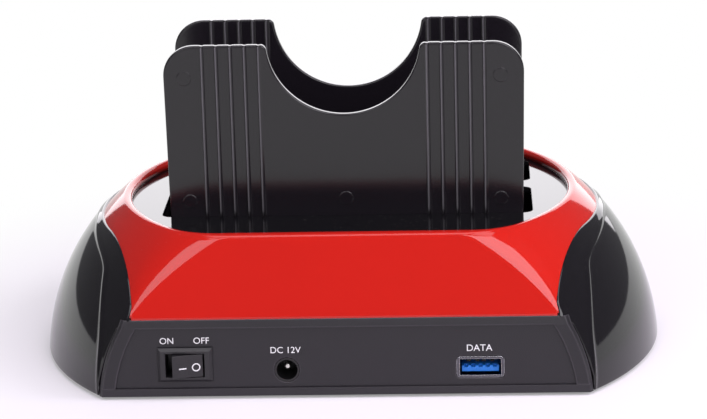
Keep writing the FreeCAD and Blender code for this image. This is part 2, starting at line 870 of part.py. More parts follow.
def drive_connector(bay):
    """The upright plastic socket that a drive plugs onto."""
    y = connector_y(bay)
    block = box(connector_centre_x - connector_length / 2, connector_centre_x + connector_length / 2,
                y - connector_width / 2, y + connector_width / 2, board_top(), height(connector_top_height))
    signal, power = slot_starts()
    low = height(connector_top_height - connector_slot_depth)
    cuts = []
    for start, length in ((signal, signal_slot_length), (power, power_slot_length)):
        cuts.append(box(start, start + length, y - connector_slot_width / 2, y + connector_slot_width / 2,
                        low, height(connector_top_height)))
    return block.cut(cuts)


def connector_contacts():
    """The spring contacts of both drive connectors, standing against one side of each slot."""
    blades = []
    low = height(connector_top_height - connector_slot_depth)
    high = height(connector_top_height - connector_slot_depth / 6)
    signal, power = slot_starts()
    rows = ((signal, signal_slot_length, signal_contacts), (power, power_slot_length, power_contacts))
    for bay in (0, 1):
        wall = connector_y(bay) + connector_slot_width / 2
        for start, length, count in rows:
            for index in range(count):
                x = start + length / 2 + (index - (count - 1) / 2) * contact_pitch
                blades.append(box(x - contact_width / 2, x + contact_width / 2,
                                  wall - contact_thickness, wall, low, high))
    return Part.makeCompound(blades)


def bezel_front():
    """Y of the switch bezel's outer face."""
    return rear_face(switch_height) - bezel_proud


def pivot_y():
    """Y of the rocker's pivot."""
    return bezel_front() + rocker_pivot_depth


def switch_housing():
    """The switch body with its bevelled bezel and the mouth for the rocker."""
    z = height(switch_height)
    front = bezel_front()
    seat = rear_face(switch_height - bezel_width / 2) - bezel_seat_gap
    bezel = box(switch_x - bezel_length / 2, switch_x + bezel_length / 2, front, seat,
                z - bezel_width / 2, z + bezel_width / 2)
    rim = edges_where(bezel, lambda m, e: abs(m.y - front) < near)
    bezel = bezel.makeChamfer(bezel_bevel, rim)
    body = box(switch_x - switch_body_length / 2, switch_x + switch_body_length / 2, seat - bezel_flange,
               front + switch_body_depth, z - switch_body_width / 2, z + switch_body_width / 2)
    housing = fuse(bezel, [body])
    mouth = box(switch_x - rocker_mouth_length / 2, switch_x + rocker_mouth_length / 2, front,
                front + mouth_depth, z - rocker_mouth_width / 2, z + rocker_mouth_width / 2)
    pivots = rod((switch_x, pivot_y(), z - rocker_mouth_width / 2 - trunnion_reach), (0, 0, 1),
                 trunnion_radius + hinge_running_gap, rocker_mouth_width + 2 * trunnion_reach)
    return housing.cut([mouth, pivots])


def switch_rocker():
    """The rocker, with a slightly dished face, set to OFF: its left end stands out."""
    z = height(switch_height)
    half = rocker_mouth_width / 2 - rocker_gap
    end = rocker_length / 2
    dish = end * math.tan(math.radians(rocker_dish))
    rocker = prism([
        (-end, -rocker_face - dish, -half), (0, -rocker_face, -half), (end, -rocker_face - dish, -half),
        (end - rocker_taper, rocker_back, -half), (rocker_taper - end, rocker_back, -half)], (0, 0, 2 * half))
    reach = half + rocker_gap + trunnion_reach - hinge_running_gap
    rocker = fuse(rocker, [rod((0, 0, -reach), (0, 0, 1), trunnion_radius, 2 * reach)])
    rocker.rotate(Vector(0, 0, 0), Vector(0, 0, 1), rocker_tilt)
    rocker.translate(Vector(switch_x, pivot_y(), z))
    return rocker


def switch_terminals():
    """Two blades from the back of the switch, bent down onto the board."""
    back = bezel_front() + switch_body_depth
    blades = []
    for side in (-1, 1):
        x = switch_x + side * terminal_spread
        z = height(switch_height)
        flat = box(x - terminal_width / 2, x + terminal_width / 2, back, back + terminal_length,
                   z - terminal_thickness / 2, z + terminal_thickness / 2)
        end = back + terminal_length
        leg = box(x - terminal_width / 2, x + terminal_width / 2, end - terminal_thickness, end,
                  board_top(), z + terminal_thickness / 2)
        blades.append(fuse(flat, [leg]))
    return Part.makeCompound(blades)


def power_jack_body():
    """The power jack's plastic body, with a round nose through the housing."""
    z = height(jack_height)
    nose_front = rear_face(jack_height)
    inner_face = -half_depth(jack_height + jack_body_width / 2, face_wall)
    nose = rod((jack_x, nose_front, z), (0, 1, 0), jack_nose_radius,
               inner_face - nose_front + 2 * jack_cut_gap)
    block = box(jack_x - jack_body_width / 2, jack_x + jack_body_width / 2, inner_face + jack_cut_gap,
                inner_face + jack_body_length, board_top(), z + jack_body_width / 2)
    bore = rod((jack_x, nose_front, z), (0, 1, 0), jack_bore_radius, jack_bore_depth)
    return fuse(block, [nose]).cut(bore)


def power_jack_pin():
    """The jack's centre pin, rounded at its tip."""
    tip = rear_face(jack_height) + jack_bore_depth - jack_pin_length
    pin = rod((jack_x, tip, height(jack_height)), (0, 1, 0), jack_pin_radius, jack_pin_length)
    rim = edges_where(pin, lambda m, e: abs(m.y - tip) < near and e.Curve.TypeId == "Part::GeomCircle")
    return pin.makeFillet(jack_pin_round, rim)


def power_jack_spring():
    """The outer contact, a strip along the top of the jack's bore."""
    z = height(jack_height) + math.sqrt(jack_bore_radius ** 2 - (jack_spring_width / 2) ** 2)
    back = rear_face(jack_height) + jack_bore_depth
    return box(jack_x - jack_spring_width / 2, jack_x + jack_spring_width / 2, back - jack_spring_length, back,
               z - jack_spring_thickness, z)


def data_shell():
    """The socket's folded metal shell with its flared front."""
    z = height(data_height)
    front = rear_face(data_height)
    half_l, half_w = data_shell_length / 2, data_shell_width / 2
    flare_l, flare_w = data_flange_length / 2, data_flange_width / 2
    tube = box(data_x - half_l, data_x + half_l, front, front + data_shell_depth, z - half_w, z + half_w)
    flange = box(data_x - flare_l, data_x + flare_l, front, front + data_flange_depth, z - flare_w, z + flare_w)
    flange = flange.makeFillet(data_flange_round, edges_where(
        flange, lambda m, e: abs(e.tangentAt(e.FirstParameter).y) > 0.999))
    bore = box(data_x - half_l + data_shell_wall, data_x + half_l - data_shell_wall, front,
               front + data_shell_depth - data_shell_wall,
               z - half_w + data_shell_wall, z + half_w - data_shell_wall)
    feet = []
    for side in (-1, 1):
        x = data_x + side * (half_l - data_shell_wall / 2)
        feet.append(box(x - data_shell_wall / 2, x + data_shell_wall / 2, front + data_foot_start,
                        front + data_foot_start + data_foot_length, board_top(), z))
    return fuse(tube, [flange] + feet).cut(bore)


def data_tongue():
    """The blue plastic tongue, notched along its front edge, and the block that carries it."""
    z = height(data_height)
    front = rear_face(data_height)
    back = front + data_shell_depth - data_shell_wall
    block_front = back - data_back_depth
    inner_l = data_shell_length / 2 - data_shell_wall
    inner_w = data_shell_width / 2 - data_shell_wall
    block = box(data_x - inner_l, data_x + inner_l, block_front, back, z - inner_w, z + inner_w)
    low = z + data_tongue_rise - data_tongue_thickness / 2
    top = low + data_tongue_thickness
    tip = block_front - data_tongue_depth
    tongue = box(data_x - data_tongue_length / 2, data_x + data_tongue_length / 2, tip, block_front, low, top)
    notches = []
    for index in range(data_notch_count):
        x = data_x + (index - (data_notch_count - 1) / 2) * data_notch_pitch
        notches.append(box(x - data_notch_width / 2, x + data_notch_width / 2, tip, tip + data_notch_length,
                           top - data_notch_depth, top))
    return fuse(block, [tongue]).cut(notches)


def data_contacts():
    """The four flat contacts on top of the tongue."""
    top = height(data_height) + data_tongue_rise + data_tongue_thickness / 2
    back = rear_face(data_height) + data_shell_depth - data_shell_wall - data_back_depth
    strips = []
    for offset in data_contact_offsets:
        for x in (data_x - offset, data_x + offset):
            strips.append(box(x - data_contact_width / 2, x + data_contact_width / 2,
                              back - data_contact_length, back, top, top + data_contact_thickness))
    return Part.makeCompound(strips)


def front_light_face():
    """Y of the sunk front panel at the lights."""
    return half_depth(light_height, panel_depth)


def light_pipes():
    """Clear rods that bring the status lights to the front face."""
    inner = half_depth(light_height + light_flange_radius, face_wall)
    start = led_tip() + light_air_gap
    pipes = []
    for x in light_places():
        z = height(light_height)
        pipe = rod((x, start, z), (0, 1, 0), light_radius, front_light_face() + light_proud - start)
        collar = rod((x, inner - light_flange_thickness, z), (0, 1, 0), light_flange_radius,
                     light_flange_thickness)
        pipes.append(fuse(pipe, [collar]))
    return Part.makeCompound(pipes)


def led_tip():
    """Y of the tips of the status lamps, just inside the board's front edge."""
    return board_front_y


def status_lamps():
    """Small lamps lying on the board's front edge, each in its holder."""
    lamps = []
    for x in light_places():
        tip = led_tip()
        back = tip - led_dome_length - led_base
        holder = box(x - led_base / 2, x + led_base / 2, back, back + led_base, board_top(),
                     height(light_height) + led_base / 2)
        dome = rod((x, back + led_base, height(light_height)), (0, 1, 0), light_radius, led_dome_length)
        end = edges_where(dome, lambda m, e: abs(m.y - tip) < near and e.Curve.TypeId == "Part::GeomCircle")
        dome = dome.makeFillet(led_dome_round, end)
        lamps.append(fuse(holder, [dome]))
    return Part.makeCompound(lamps)


def component(size, x, back):
    """A block of a given length, width and height, on the board at X and a distance from its rear edge."""
    length, width, thick = size
    y = board_rear_y + back
    return box(x - length / 2, x + length / 2, y - width / 2, y + width / 2, board_top(), board_top() + thick)


def board_chips():
    """Flat packaged chips on the board."""
    kinds = ((bridge_chip, bridge_places), (memory_chip, memory_places), (regulator_chip, regulator_places))
    chips = []
    for size, places in kinds:
        for x, back in places:
            chip = component(size, x, back)
            top = board_top() + size[2]
            chips.append(chip.makeChamfer(chip_bevel, edges_where(chip, lambda m, e: abs(m.z - top) < near)))
    return Part.makeCompound(chips)


def board_capacitors():
    """Round can capacitors near the power jack."""
    cans = []
    for x, back in capacitor_places:
        can = rod((x, board_rear_y + back, board_top()), (0, 0, 1), capacitor_radius, capacitor_length)
        rims = edges_where(can, lambda m, e: e.Curve.TypeId == "Part::GeomCircle")
        cans.append(can.makeFillet(capacitor_round, rims))
    return Part.makeCompound(cans)


def power_inductors():
    """Square shielded coils beside the regulator."""
    coils = []
    for x, back in inductor_places:
        coil = component(inductor_size, x, back)
        coils.append(coil.makeChamfer(inductor_corner, edges_where(coil, lambda m, e: upright(e))))
    return Part.makeCompound(coils)


def screw(start, direction, radius, head_radius, head_height, length):
    """A pan-head screw: its head lies before the start point, its shank runs along the direction."""
    axis = Vector(*direction)
    place = Vector(*start)
    head = Part.makeCylinder(head_radius, head_height, place - axis * head_height, axis)
    shank = Part.makeCylinder(radius, length, place, axis)
    body = fuse(head, [shank])
    slot = Part.makeBox(head_radius, head_height / 2, head_height / 2,
                        Vector(-head_radius / 2, -head_height / 4, 0))
    turn = FreeCAD.Rotation(Vector(0, 0, 1), axis)
    slot.Placement = FreeCAD.Placement(place - axis * head_height, turn).multiply(slot.Placement)
    return body.cut(slot)


def case_screws():
    """The four long screws that hold the base plate to the upper shell."""
    length = case_boss_height - case_screw_sink + case_screw_bite
    screws = []
    for x in (-case_post_x, case_post_x):
        for y in (-case_post_y, case_post_y):
            screws.append(screw((x, y, height(case_screw_sink)), (0, 0, 1), case_screw_radius,
                                case_screw_head_radius, case_screw_head_height, length))
    return Part.makeCompound(screws)


def board_screws():
    """The four screws that hold the board."""
    length = board_thickness + board_underside_height - board_screw_floor
    return Part.makeCompound([
        screw((x, y, board_top()), (0, 0, -1), small_screw_radius, small_screw_head_radius,
              small_screw_head_height, length) for x, y in standoff_places()])


def well_screws():
    """The screws that hold both wells under the deck."""
    return Part.makeCompound([
        screw((x, y, height(tab_height - tab_thickness)), (0, 0, 1), small_screw_radius,
              small_screw_head_radius, small_screw_head_height, tab_thickness + small_screw_bite)
        for bay in (0, 1) for x, y in tab_places(bay)])


def plate_screws():
    """The flat-head screws that hold each guide plate to the rear wall of its well."""
    length = plate_thickness + plate_gap + well_wall
    cone = small_screw_head_radius - small_screw_radius
    screws = []
    for bay in (0, 1):
        for x, y, z in plate_screw_places(bay):
            head = Part.makeCone(small_screw_head_radius, small_screw_radius, cone,
                                 Vector(x, y, z), Vector(0, -1, 0))
            flat_screw = fuse(head, [rod((x, y, z), (0, -1, 0), small_screw_radius, length)])
            slot = box(x - small_screw_head_radius / 2, x + small_screw_head_radius / 2, y - cone / 2, y,
                       z - cone / 4, z + cone / 4)
            screws.append(flat_screw.cut(slot))
    return Part.makeCompound(screws)


def all_parts():
    """Every sub-part by its name."""
    right_cap = side_cap()
    parts = {
        "bottom_cover": bottom_cover(),
        "rubber_feet": rubber_feet(),
        "lower_housing": lower_housing(),
        "upper_shell": upper_shell(),
        "right_side_cap": right_cap,
        "left_side_cap": mirror_x(right_cap),
        "top_deck": top_deck(),
        "main_board": main_board(),
        "drive_connector_contacts": connector_contacts(),
        "board_chips": board_chips(),
        "board_capacitors": board_capacitors(),
        "power_inductors": power_inductors(),
        "switch_housing": switch_housing(),
        "switch_rocker": switch_rocker(),
        "switch_terminals": switch_terminals(),
        "power_jack_body": power_jack_body(),
        "power_jack_pin": power_jack_pin(),
        "power_jack_spring_contact": power_jack_spring(),
        "data_socket_shell": data_shell(),
        "data_socket_tongue": data_tongue(),
        "data_socket_contacts": data_contacts(),
        "status_lamps": status_lamps(),
        "light_pipes": light_pipes(),
        "case_screws": case_screws(),
        "board_screws": board_screws(),
        "well_screws": well_screws(),
        "plate_screws": plate_screws(),
    }
    for bay, name in enumerate(("rear", "front")):
        parts[name + "_bay_well"] = bay_well(bay)
        parts[name + "_guide_plate"] = guide_plate(bay)
        parts[name + "_bay_flap"] = bay_flap(bay)
        parts[name + "_flap_pin"] = flap_pin(bay)
        parts[name + "_flap_springs"] = flap_springs(bay)
        parts[name + "_drive_connector"] = drive_connector(bay)
    return parts


os.makedirs("parts", exist_ok=True)
for node, shape in all_parts().items():
    shape.exportStep("parts/" + node + ".step")
    print(node, len(shape.Solids), "solids", round(shape.Volume), "mm3, valid", shape.isValid())
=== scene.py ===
# %% [markdown]
# A desktop dock for two bare hard drives: a turned casing with a red shell, two glossy side caps, a deck
# with two open bays, and a ribbed guide plate behind each bay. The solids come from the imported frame,
# and this notebook gives them their finish. Large glossy surfaces are modelled again as smooth surfaces
# computed with numpy, because their reflections show every facet. Small hardware keeps its solid.

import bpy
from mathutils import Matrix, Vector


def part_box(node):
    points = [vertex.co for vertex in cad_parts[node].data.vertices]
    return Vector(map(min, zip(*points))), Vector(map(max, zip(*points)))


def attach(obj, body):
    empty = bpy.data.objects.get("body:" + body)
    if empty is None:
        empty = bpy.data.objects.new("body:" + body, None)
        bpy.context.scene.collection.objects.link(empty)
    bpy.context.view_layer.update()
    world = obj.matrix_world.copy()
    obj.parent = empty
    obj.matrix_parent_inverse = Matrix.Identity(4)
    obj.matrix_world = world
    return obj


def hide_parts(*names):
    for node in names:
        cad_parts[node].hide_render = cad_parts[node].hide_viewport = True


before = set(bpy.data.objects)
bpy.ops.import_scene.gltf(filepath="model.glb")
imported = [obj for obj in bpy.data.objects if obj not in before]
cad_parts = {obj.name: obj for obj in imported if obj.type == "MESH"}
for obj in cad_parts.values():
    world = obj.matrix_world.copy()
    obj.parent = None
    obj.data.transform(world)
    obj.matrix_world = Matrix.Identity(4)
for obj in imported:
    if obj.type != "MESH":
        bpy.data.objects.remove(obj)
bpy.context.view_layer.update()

# %% [markdown]
# The frame is in metres with the height along Z. The numbers below are in millimetres over the foot of
# the casing, which stands one millimetre above the table on rubber feet.

# %% Tools
import math

import bmesh
import bpy
import numpy as np
from mathutils import Matrix, Vector

MM = 0.001
FOOT = 1.0
least_length = 1e-12


def unit(vectors):
    """Vectors divided by their own length."""
    return vectors / np.maximum(np.linalg.norm(vectors, axis=-1, keepdims=True), least_length)


def outwards(azimuth, elevation):
    """The direction away from the object at two angles; azimuth 0 is the camera's side."""
    return Vector((math.sin(azimuth) * math.cos(elevation), -math.cos(azimuth) * math.cos(elevation),
                   math.sin(elevation)))


def shown(name, data):
    """A new object with some data, linked to the scene."""
    thing = bpy.data.objects.new(name, data)
    bpy.context.scene.collection.objects.link(thing)
    return thing


print("one millimetre is", MM, "and the casing's foot stands at", FOOT)

# %% [markdown]
# The camera stands where the photograph was taken: 0.9 m away, 16 degrees above the table and a little
# to the right, through a long lens, so that upright edges stay almost parallel. The picture is rolled by
# 1.5 degrees. The lens follows from the focal length in pixels and the picture's width of 707 pixels.

# %% Camera
picture_width = 707
focal_pixels = 2860.8
sensor_width = 36.0
camera_distance = 0.9004
camera_elevation = math.radians(15.78)
camera_yaw = math.radians(2.556)
camera_roll = math.radians(-1.466)
camera_target = Vector((0.00145, -0.010, 0.04368))


def place_camera():
    """A camera on a ray from its target, turned by a yaw, an elevation and a roll."""
    back = outwards(camera_yaw, camera_elevation)
    right = (-back).cross(Vector((0, 0, 1))).normalized()
    up = right.cross(-back)
    rolled_right = right * math.cos(camera_roll) + up * math.sin(camera_roll)
    rolled_up = up * math.cos(camera_roll) - right * math.sin(camera_roll)
    data = bpy.data.cameras.new("photo_camera")
    data.sensor_width = sensor_width
    data.lens = focal_pixels / picture_width * sensor_width
    camera = shown("photo_camera", data)
    turn = Matrix((rolled_right, rolled_up, back)).transposed().to_4x4()
    camera.matrix_world = Matrix.Translation(camera_target + back * camera_distance) @ turn
    bpy.context.scene.camera = camera
    return camera


camera = place_camera()
print("lens", round(camera.data.lens, 1), "mm")

# %% [markdown]
# The studio is a white table, a soft panel on either side of the camera, a wide one behind and one
# overhead. The front of the red shell mirrors the dim room round the camera, while its rounded corners
# turn towards the panels and catch them as pale wedges. The glossy caps face further round, where the
# room is dim, and stay black. The panel behind is what the deck and the rim mirror at a grazing angle.
# A fill on the right brightens the red there, and isn't mirrored. Each row below holds a panel's name,
# radiance, azimuth, elevation, distance, width, height, and whether it is mirrored.

# %% Light panels
panels = (("left", 2.3, -28, 33, 1.1, 0.60, 0.52, True), ("right", 3.4, 31, 34, 1.1, 0.72, 0.72, True),
          ("rear", 1.7, 180, 17, 1.3, 1.5, 0.8, True), ("top", 1.9, 10, 78, 1.2, 1.0, 0.8, True),
          ("fill", 7.0, 78, 42, 1.2, 0.5, 0.5, False))
panel_tint = (0.985, 0.955, 1.0)
panel_aim = Vector((0, 0, 0.04))
watts_per_radiance = 4


def soft_panel(name, radiance, azimuth, elevation, distance, width, tall, mirrored):
    """A rectangular lamp that faces the object from two angles in degrees."""
    away = outwards(math.radians(azimuth), math.radians(elevation))
    data = bpy.data.lights.new("panel_" + name, "AREA")
    data.shape = "RECTANGLE"
    data.size, data.size_y = width, tall
    data.energy = radiance * watts_per_radiance * width * tall
    data.color = panel_tint
    lamp = shown("panel_" + name, data)
    lamp.location = away * distance + panel_aim
    lamp.rotation_mode = "QUATERNION"
    lamp.rotation_quaternion = away.to_track_quat("Z", "Y")
    lamp.visible_camera = False
    lamp.visible_glossy = mirrored


for panel in panels:
    soft_panel(*panel)
print("panels", [panel[0] for panel in panels])

# %% [markdown]
# Every material and the world is a small graph of nodes. One class keeps them short. It adds a node and
# feeds its first inputs in one line, and builds the steps that come up again and again. A Mix node has
# many sockets, so a table says where each kind of mix has its first value, its second and its output.

# %% Node graphs
mix_sockets = {"RGBA": (6, 7, 2), "FLOAT": (2, 3, 0)}


class Graph:
    """A node tree with short ways to add, feed and link its nodes."""

    def __init__(self, tree):
        self.tree, self.link = tree, tree.links.new

    def add(self, kind, *sources, **values):
        """A node with some settings, whose first inputs come from the given sockets."""
        node = self.tree.nodes.new(kind)
        for key, value in values.items():
            setattr(node, key, value)
        for source, socket in zip(sources, node.inputs):
            self.link(source, socket)
        return node

    def math(self, operation, first, second):
        """The output of a Math node over two sockets."""
        return self.add("ShaderNodeMath", first, second, operation=operation).outputs[0]

    def spread(self, source, low, high, **values):
        """A Map Range node that spreads a socket's values from low to high over 0 to 1."""
        node = self.add("ShaderNodeMapRange", source, **values)
        node.inputs["From Min"].default_value = low
        node.inputs["From Max"].default_value = high
        return node

    def blend(self, kind, share, first, second):
        """The output of a Mix node, by a share, from a first socket or colour to a second value."""
        node = self.add("ShaderNodeMix", share, data_type=kind)
        at_first, at_second, at_output = mix_sockets[kind]
        if isinstance(first, tuple):
            node.inputs[at_first].default_value = first
        else:
            self.link(first, node.inputs[at_first])
        node.inputs[at_second].default_value = second
        return node.outputs[at_output]

    def rays(self, *names):
        """A value that is 1 on any of the named kinds of ray."""
        path = self.add("ShaderNodeLightPath")
        total = path.outputs[names[0]]
        for name in names[1:]:
            total = self.math("MAXIMUM", total, path.outputs[name])
        return total


def graph_of(owner):
    """The emptied graph of a material or world."""
    owner.use_nodes = True
    owner.node_tree.nodes.clear()
    return Graph(owner.node_tree)


print("a Mix node blends", sorted(mix_sockets))

# %% [markdown]
# The world is white where the camera looks at it, and for reflections of what lies behind the object.
# The rest of what the object mirrors is a dim grey, like the dark room round a product table. The table
# is white with a trace of lavender. Its brightness falls off away from the lamps, so it is shown partly
# as plain white near the object and fully beyond.

# %% World and table
room_colour = (0.16, 0.16, 0.168, 1)
backdrop_edge = (0.88, 0.97)
table_colour = (0.82, 0.76, 0.85, 1)
table_reach = 3.0
table_gap = 0.00003
table_fade = (0.09, 0.21)
near_share = 0.3


def build_world():
    """White to the camera and through clear plastic; reflections see white behind the object only."""
    world = bpy.data.worlds.new("studio")
    graph = graph_of(world)
    split = graph.add("ShaderNodeSeparateXYZ", graph.add("ShaderNodeTexCoord").outputs["Generated"])
    behind = graph.spread(split.outputs["Y"], *backdrop_edge, interpolation_type="SMOOTHSTEP")
    mirrored = graph.math("MULTIPLY", behind.outputs[0], graph.rays("Is Glossy Ray"))
    white = graph.math("MAXIMUM", mirrored, graph.rays("Is Camera Ray", "Is Transmission Ray"))
    seen, room = graph.add("ShaderNodeBackground"), graph.add("ShaderNodeBackground")
    seen.inputs["Color"].default_value = (1, 1, 1, 1)
    room.inputs["Color"].default_value = room_colour
    mix = graph.add("ShaderNodeMixShader", white, room.outputs[0], seen.outputs[0])
    graph.add("ShaderNodeOutputWorld", mix.outputs[0])
    bpy.context.scene.world = world


def build_table():
    """A flat white table whose far part is shown as plain white, in reflections too."""
    mesh = bpy.data.meshes.new("table")
    r = table_reach
    corners = [(-r, -r, -table_gap), (r, -r, -table_gap), (r, r, -table_gap), (-r, r, -table_gap)]
    mesh.from_pydata(corners, [], [(0, 1, 2, 3)])
    table = shown("table", mesh)
    material = bpy.data.materials.new("table_white")
    graph = graph_of(material)
    place = graph.add("ShaderNodeTexCoord").outputs["Object"]
    reach = graph.add("ShaderNodeVectorMath", place, operation="LENGTH").outputs["Value"]
    fade = graph.spread(reach, *table_fade, interpolation_type="SMOOTHSTEP")
    fade.inputs["To Min"].default_value = near_share
    rays = graph.rays("Is Camera Ray", "Is Glossy Ray", "Is Transmission Ray")
    share = graph.math("MULTIPLY", fade.outputs[0], rays)
    cloth, glow = graph.add("ShaderNodeBsdfDiffuse"), graph.add("ShaderNodeEmission")
    cloth.inputs["Color"].default_value = table_colour
    mix = graph.add("ShaderNodeMixShader", share, cloth.outputs[0], glow.outputs[0])
    graph.add("ShaderNodeOutputMaterial", mix.outputs[0])
    mesh.materials.append(material)


bpy.context.scene.view_settings.view_transform = "Standard"
build_world()
build_table()
print("table", 2 * table_reach, "m wide")

# %% [markdown]
# Moulded plastic is never quite even. Two shared effects cover what the photograph shows: a fine grain,
# from the mould's spark-eroded or polished steel, and thin dust that settles on faces that look up. Each
# is a node group that puts out a mask or a height, and every finish mixes them in its own amounts.

# %% Shared effects
speck_range = (0.64, 0.78)
upward_range = (0.2, 0.9)


def new_group(name, inputs, outputs):
    """A group with float inputs (name, default) and float outputs, as a graph with its two ends."""
    group = bpy.data.node_groups.new(name, "ShaderNodeTree")
    for label, default in inputs:
        socket = group.interface.new_socket(label, in_out="INPUT", socket_type="NodeSocketFloat")
        socket.default_value = default
    for label in outputs:
        group.interface.new_socket(label, in_out="OUTPUT", socket_type="NodeSocketFloat")
    graph = Graph(group)
    return graph, graph.add("NodeGroupInput").outputs, graph.add("NodeGroupOutput").inputs


def noise(graph, scale, detail):
    """The strength of a noise in the object's own space, whose scale comes from a socket."""
    node = graph.add("ShaderNodeTexNoise", graph.add("ShaderNodeTexCoord").outputs["Object"])
    node.inputs["Detail"].default_value = detail
    graph.link(scale, node.inputs["Scale"])
    return node.outputs["Fac"]


def build_grain():
    """Height: fine noise at a scale. Cloud: slow noise, from 0 to 1, for shifts of tone and gloss."""
    graph, start, end = new_group("moulded_grain", (("Scale", 2500.0), ("Cloud Scale", 18.0)),
                                  ("Height", "Cloud"))
    graph.link(noise(graph, start["Scale"], 3.0), end["Height"])
    graph.link(noise(graph, start["Cloud Scale"], 2.0), end["Cloud"])
    return graph.tree


def build_dust():
    """Mask: sparse specks where the surface looks up, thinned by a threshold."""
    graph, start, end = new_group("settled_dust", (("Scale", 900.0), ("Amount", 0.5)), ("Mask",))
    clip = graph.spread(noise(graph, start["Scale"], 4.0), *speck_range)
    split = graph.add("ShaderNodeSeparateXYZ", graph.add("ShaderNodeNewGeometry").outputs["Normal"])
    upward = graph.spread(split.outputs["Z"], *upward_range)
    specks = graph.math("MULTIPLY", clip.outputs[0], upward.outputs[0])
    graph.link(graph.math("MULTIPLY", specks, start["Amount"]), end["Mask"])
    return graph.tree


grain_group = build_grain()
dust_group = build_dust()
print("groups", [group.name for group in bpy.data.node_groups])

# %% [markdown]
# One builder makes every finish: a colour that drifts slightly in tone, a roughness that follows the
# same cloud, the grain as a bump, and dust that pales and dulls. A piece may carry a per-point share of
# painted highlight, which is laid on as a pale colour with a duller roughness. Solids that keep sharp
# edges get them rounded in the shading by the Bevel node, which reads the real edges nearby. Where it
# bends the surface, a painted highlight line along the edge may show in a lighter colour.

# %% Finish builder
dust_colour, dust_roughness = (0.30, 0.28, 0.27, 1), 0.8
# Colour and roughness of the painted highlight, laid on where a piece's per-point share of it is high.
painted_highlight_tint, painted_highlight_roughness = (1, 0.95, 1.05), 0.6
bump_distance = 0.0002
bevel_samples = 6
# How far the Bevel node must bend the normal before an edge gets its painted highlight line.
edge_highlight_bend = (0.998, 0.93)


def linear(red, green, blue):
    """A colour written as 0 to 255 in display values, turned to linear light."""
    parts = []
    for value in (red, green, blue):
        v = value / 255
        parts.append(v / 12.92 if v <= 0.04045 else ((v + 0.055) / 1.055) ** 2.4)
    return (*parts, 1.0)


def finish(name, colour, roughness, grain=0.02, grain_scale=2500.0, drift=0.06, gloss_drift=0.05,
           dust=0.0, edge=0.0, metallic=0.0, coat=0.0, transmission=0.0, specular=0.5, painted_highlight=0.0,
           painted_edge_highlight=None):
    """A Principled material: drifting tone and gloss, grain, dust, painted highlights, rounded edges."""
    material = bpy.data.materials.new(name)
    graph = graph_of(material)
    shader = graph.add("ShaderNodeBsdfPrincipled")
    for label, value in (("Metallic", metallic), ("Coat Weight", coat),
                         ("Transmission Weight", transmission), ("Specular IOR Level", specular)):
        shader.inputs[label].default_value = value
    grains = graph.add("ShaderNodeGroup", node_tree=grain_group)
    grains.inputs["Scale"].default_value = grain_scale
    cloud = grains.outputs["Cloud"]
    darker, paler = (tuple(min(1, c * k) for c in colour[:3]) + (1,) for k in (1 - drift, 1 + drift))
    colour_out = graph.blend("RGBA", cloud, darker, paler)
    gloss = graph.add("ShaderNodeMapRange", cloud)
    gloss.inputs["To Min"].default_value = roughness * (1 - gloss_drift)
    gloss.inputs["To Max"].default_value = roughness * (1 + gloss_drift)
    gloss_out = gloss.outputs[0]
    layers = []
    if dust:
        specks = graph.add("ShaderNodeGroup", node_tree=dust_group)
        specks.inputs["Amount"].default_value = dust
        layers.append((specks.outputs["Mask"], dust_colour, dust_roughness))
    # A pale painted highlight with a duller roughness, following the piece's per-point share.
    if painted_highlight:
        painted_highlight_share = graph.add("ShaderNodeAttribute", attribute_name="painted_highlight_share")
        layers.append((painted_highlight_share.outputs["Fac"], tuple(painted_highlight * c for c in painted_highlight_tint) + (1,), painted_highlight_roughness))
    for mask, layer_colour, layer_roughness in layers:
        colour_out = graph.blend("RGBA", mask, colour_out, layer_colour)
        gloss_out = graph.blend("FLOAT", mask, gloss_out, layer_roughness)
    bump = graph.add("ShaderNodeBump")
    bump.inputs["Strength"].default_value = grain
    bump.inputs["Distance"].default_value = bump_distance
    graph.link(grains.outputs["Height"], bump.inputs["Height"])
    if edge:
        rounding = graph.add("ShaderNodeBevel", samples=bevel_samples)
        rounding.inputs["Radius"].default_value = edge * MM
        graph.link(rounding.outputs[0], bump.inputs["Normal"])
    # A painted highlight: a lighter colour along edges where the Bevel node bends the normal.
    if painted_edge_highlight:
        flat = graph.add("ShaderNodeNewGeometry").outputs["Normal"]
        bend = graph.add("ShaderNodeVectorMath", rounding.outputs[0], flat, operation="DOT_PRODUCT")
        edge_highlight_share = graph.spread(bend.outputs["Value"], *edge_highlight_bend)
        colour_out = graph.blend("RGBA", edge_highlight_share.outputs[0], colour_out, painted_edge_highlight)
    graph.link(colour_out, shader.inputs["Base Color"])
    graph.link(gloss_out, shader.inputs["Roughness"])
    graph.link(bump.outputs[0], shader.inputs["Normal"])
    graph.add("ShaderNodeOutputMaterial", shader.outputs[0])
    return material


print("a display grey of 128 is", round(linear(128, 128, 128)[0], 3), "in linear light")

# %% [markdown]
# The finishes of the real dock: high-gloss red and black on the shell, caps and deck, a satin black on
# the guide plates, a finely eroded matt black on the base, and the usual metals and plastics of ports.

# %% Finishes
red_gloss = finish("red_gloss", linear(187, 26, 18), 0.07, grain=0.01, drift=0.03, dust=0.10)
black_gloss = finish("black_gloss", linear(18, 16, 20), 0.06, grain=0.01, dust=0.08)
deck_gloss = finish("deck_gloss", linear(16, 15, 18), 0.05, dust=0.12, edge=0.35, coat=0.05)
# The plates' satin black shows a painted highlight on one shoulder of each rib.
satin_black = finish("satin_black", linear(24, 21, 26), 0.17, grain=0.05, grain_scale=1400.0, dust=0.15,
                     gloss_drift=0.15, painted_highlight=0.11)
matt_black = finish("matt_black", linear(34, 31, 37), 0.42, grain=0.35, grain_scale=3800.0, edge=0.35,
                    dust=0.1)
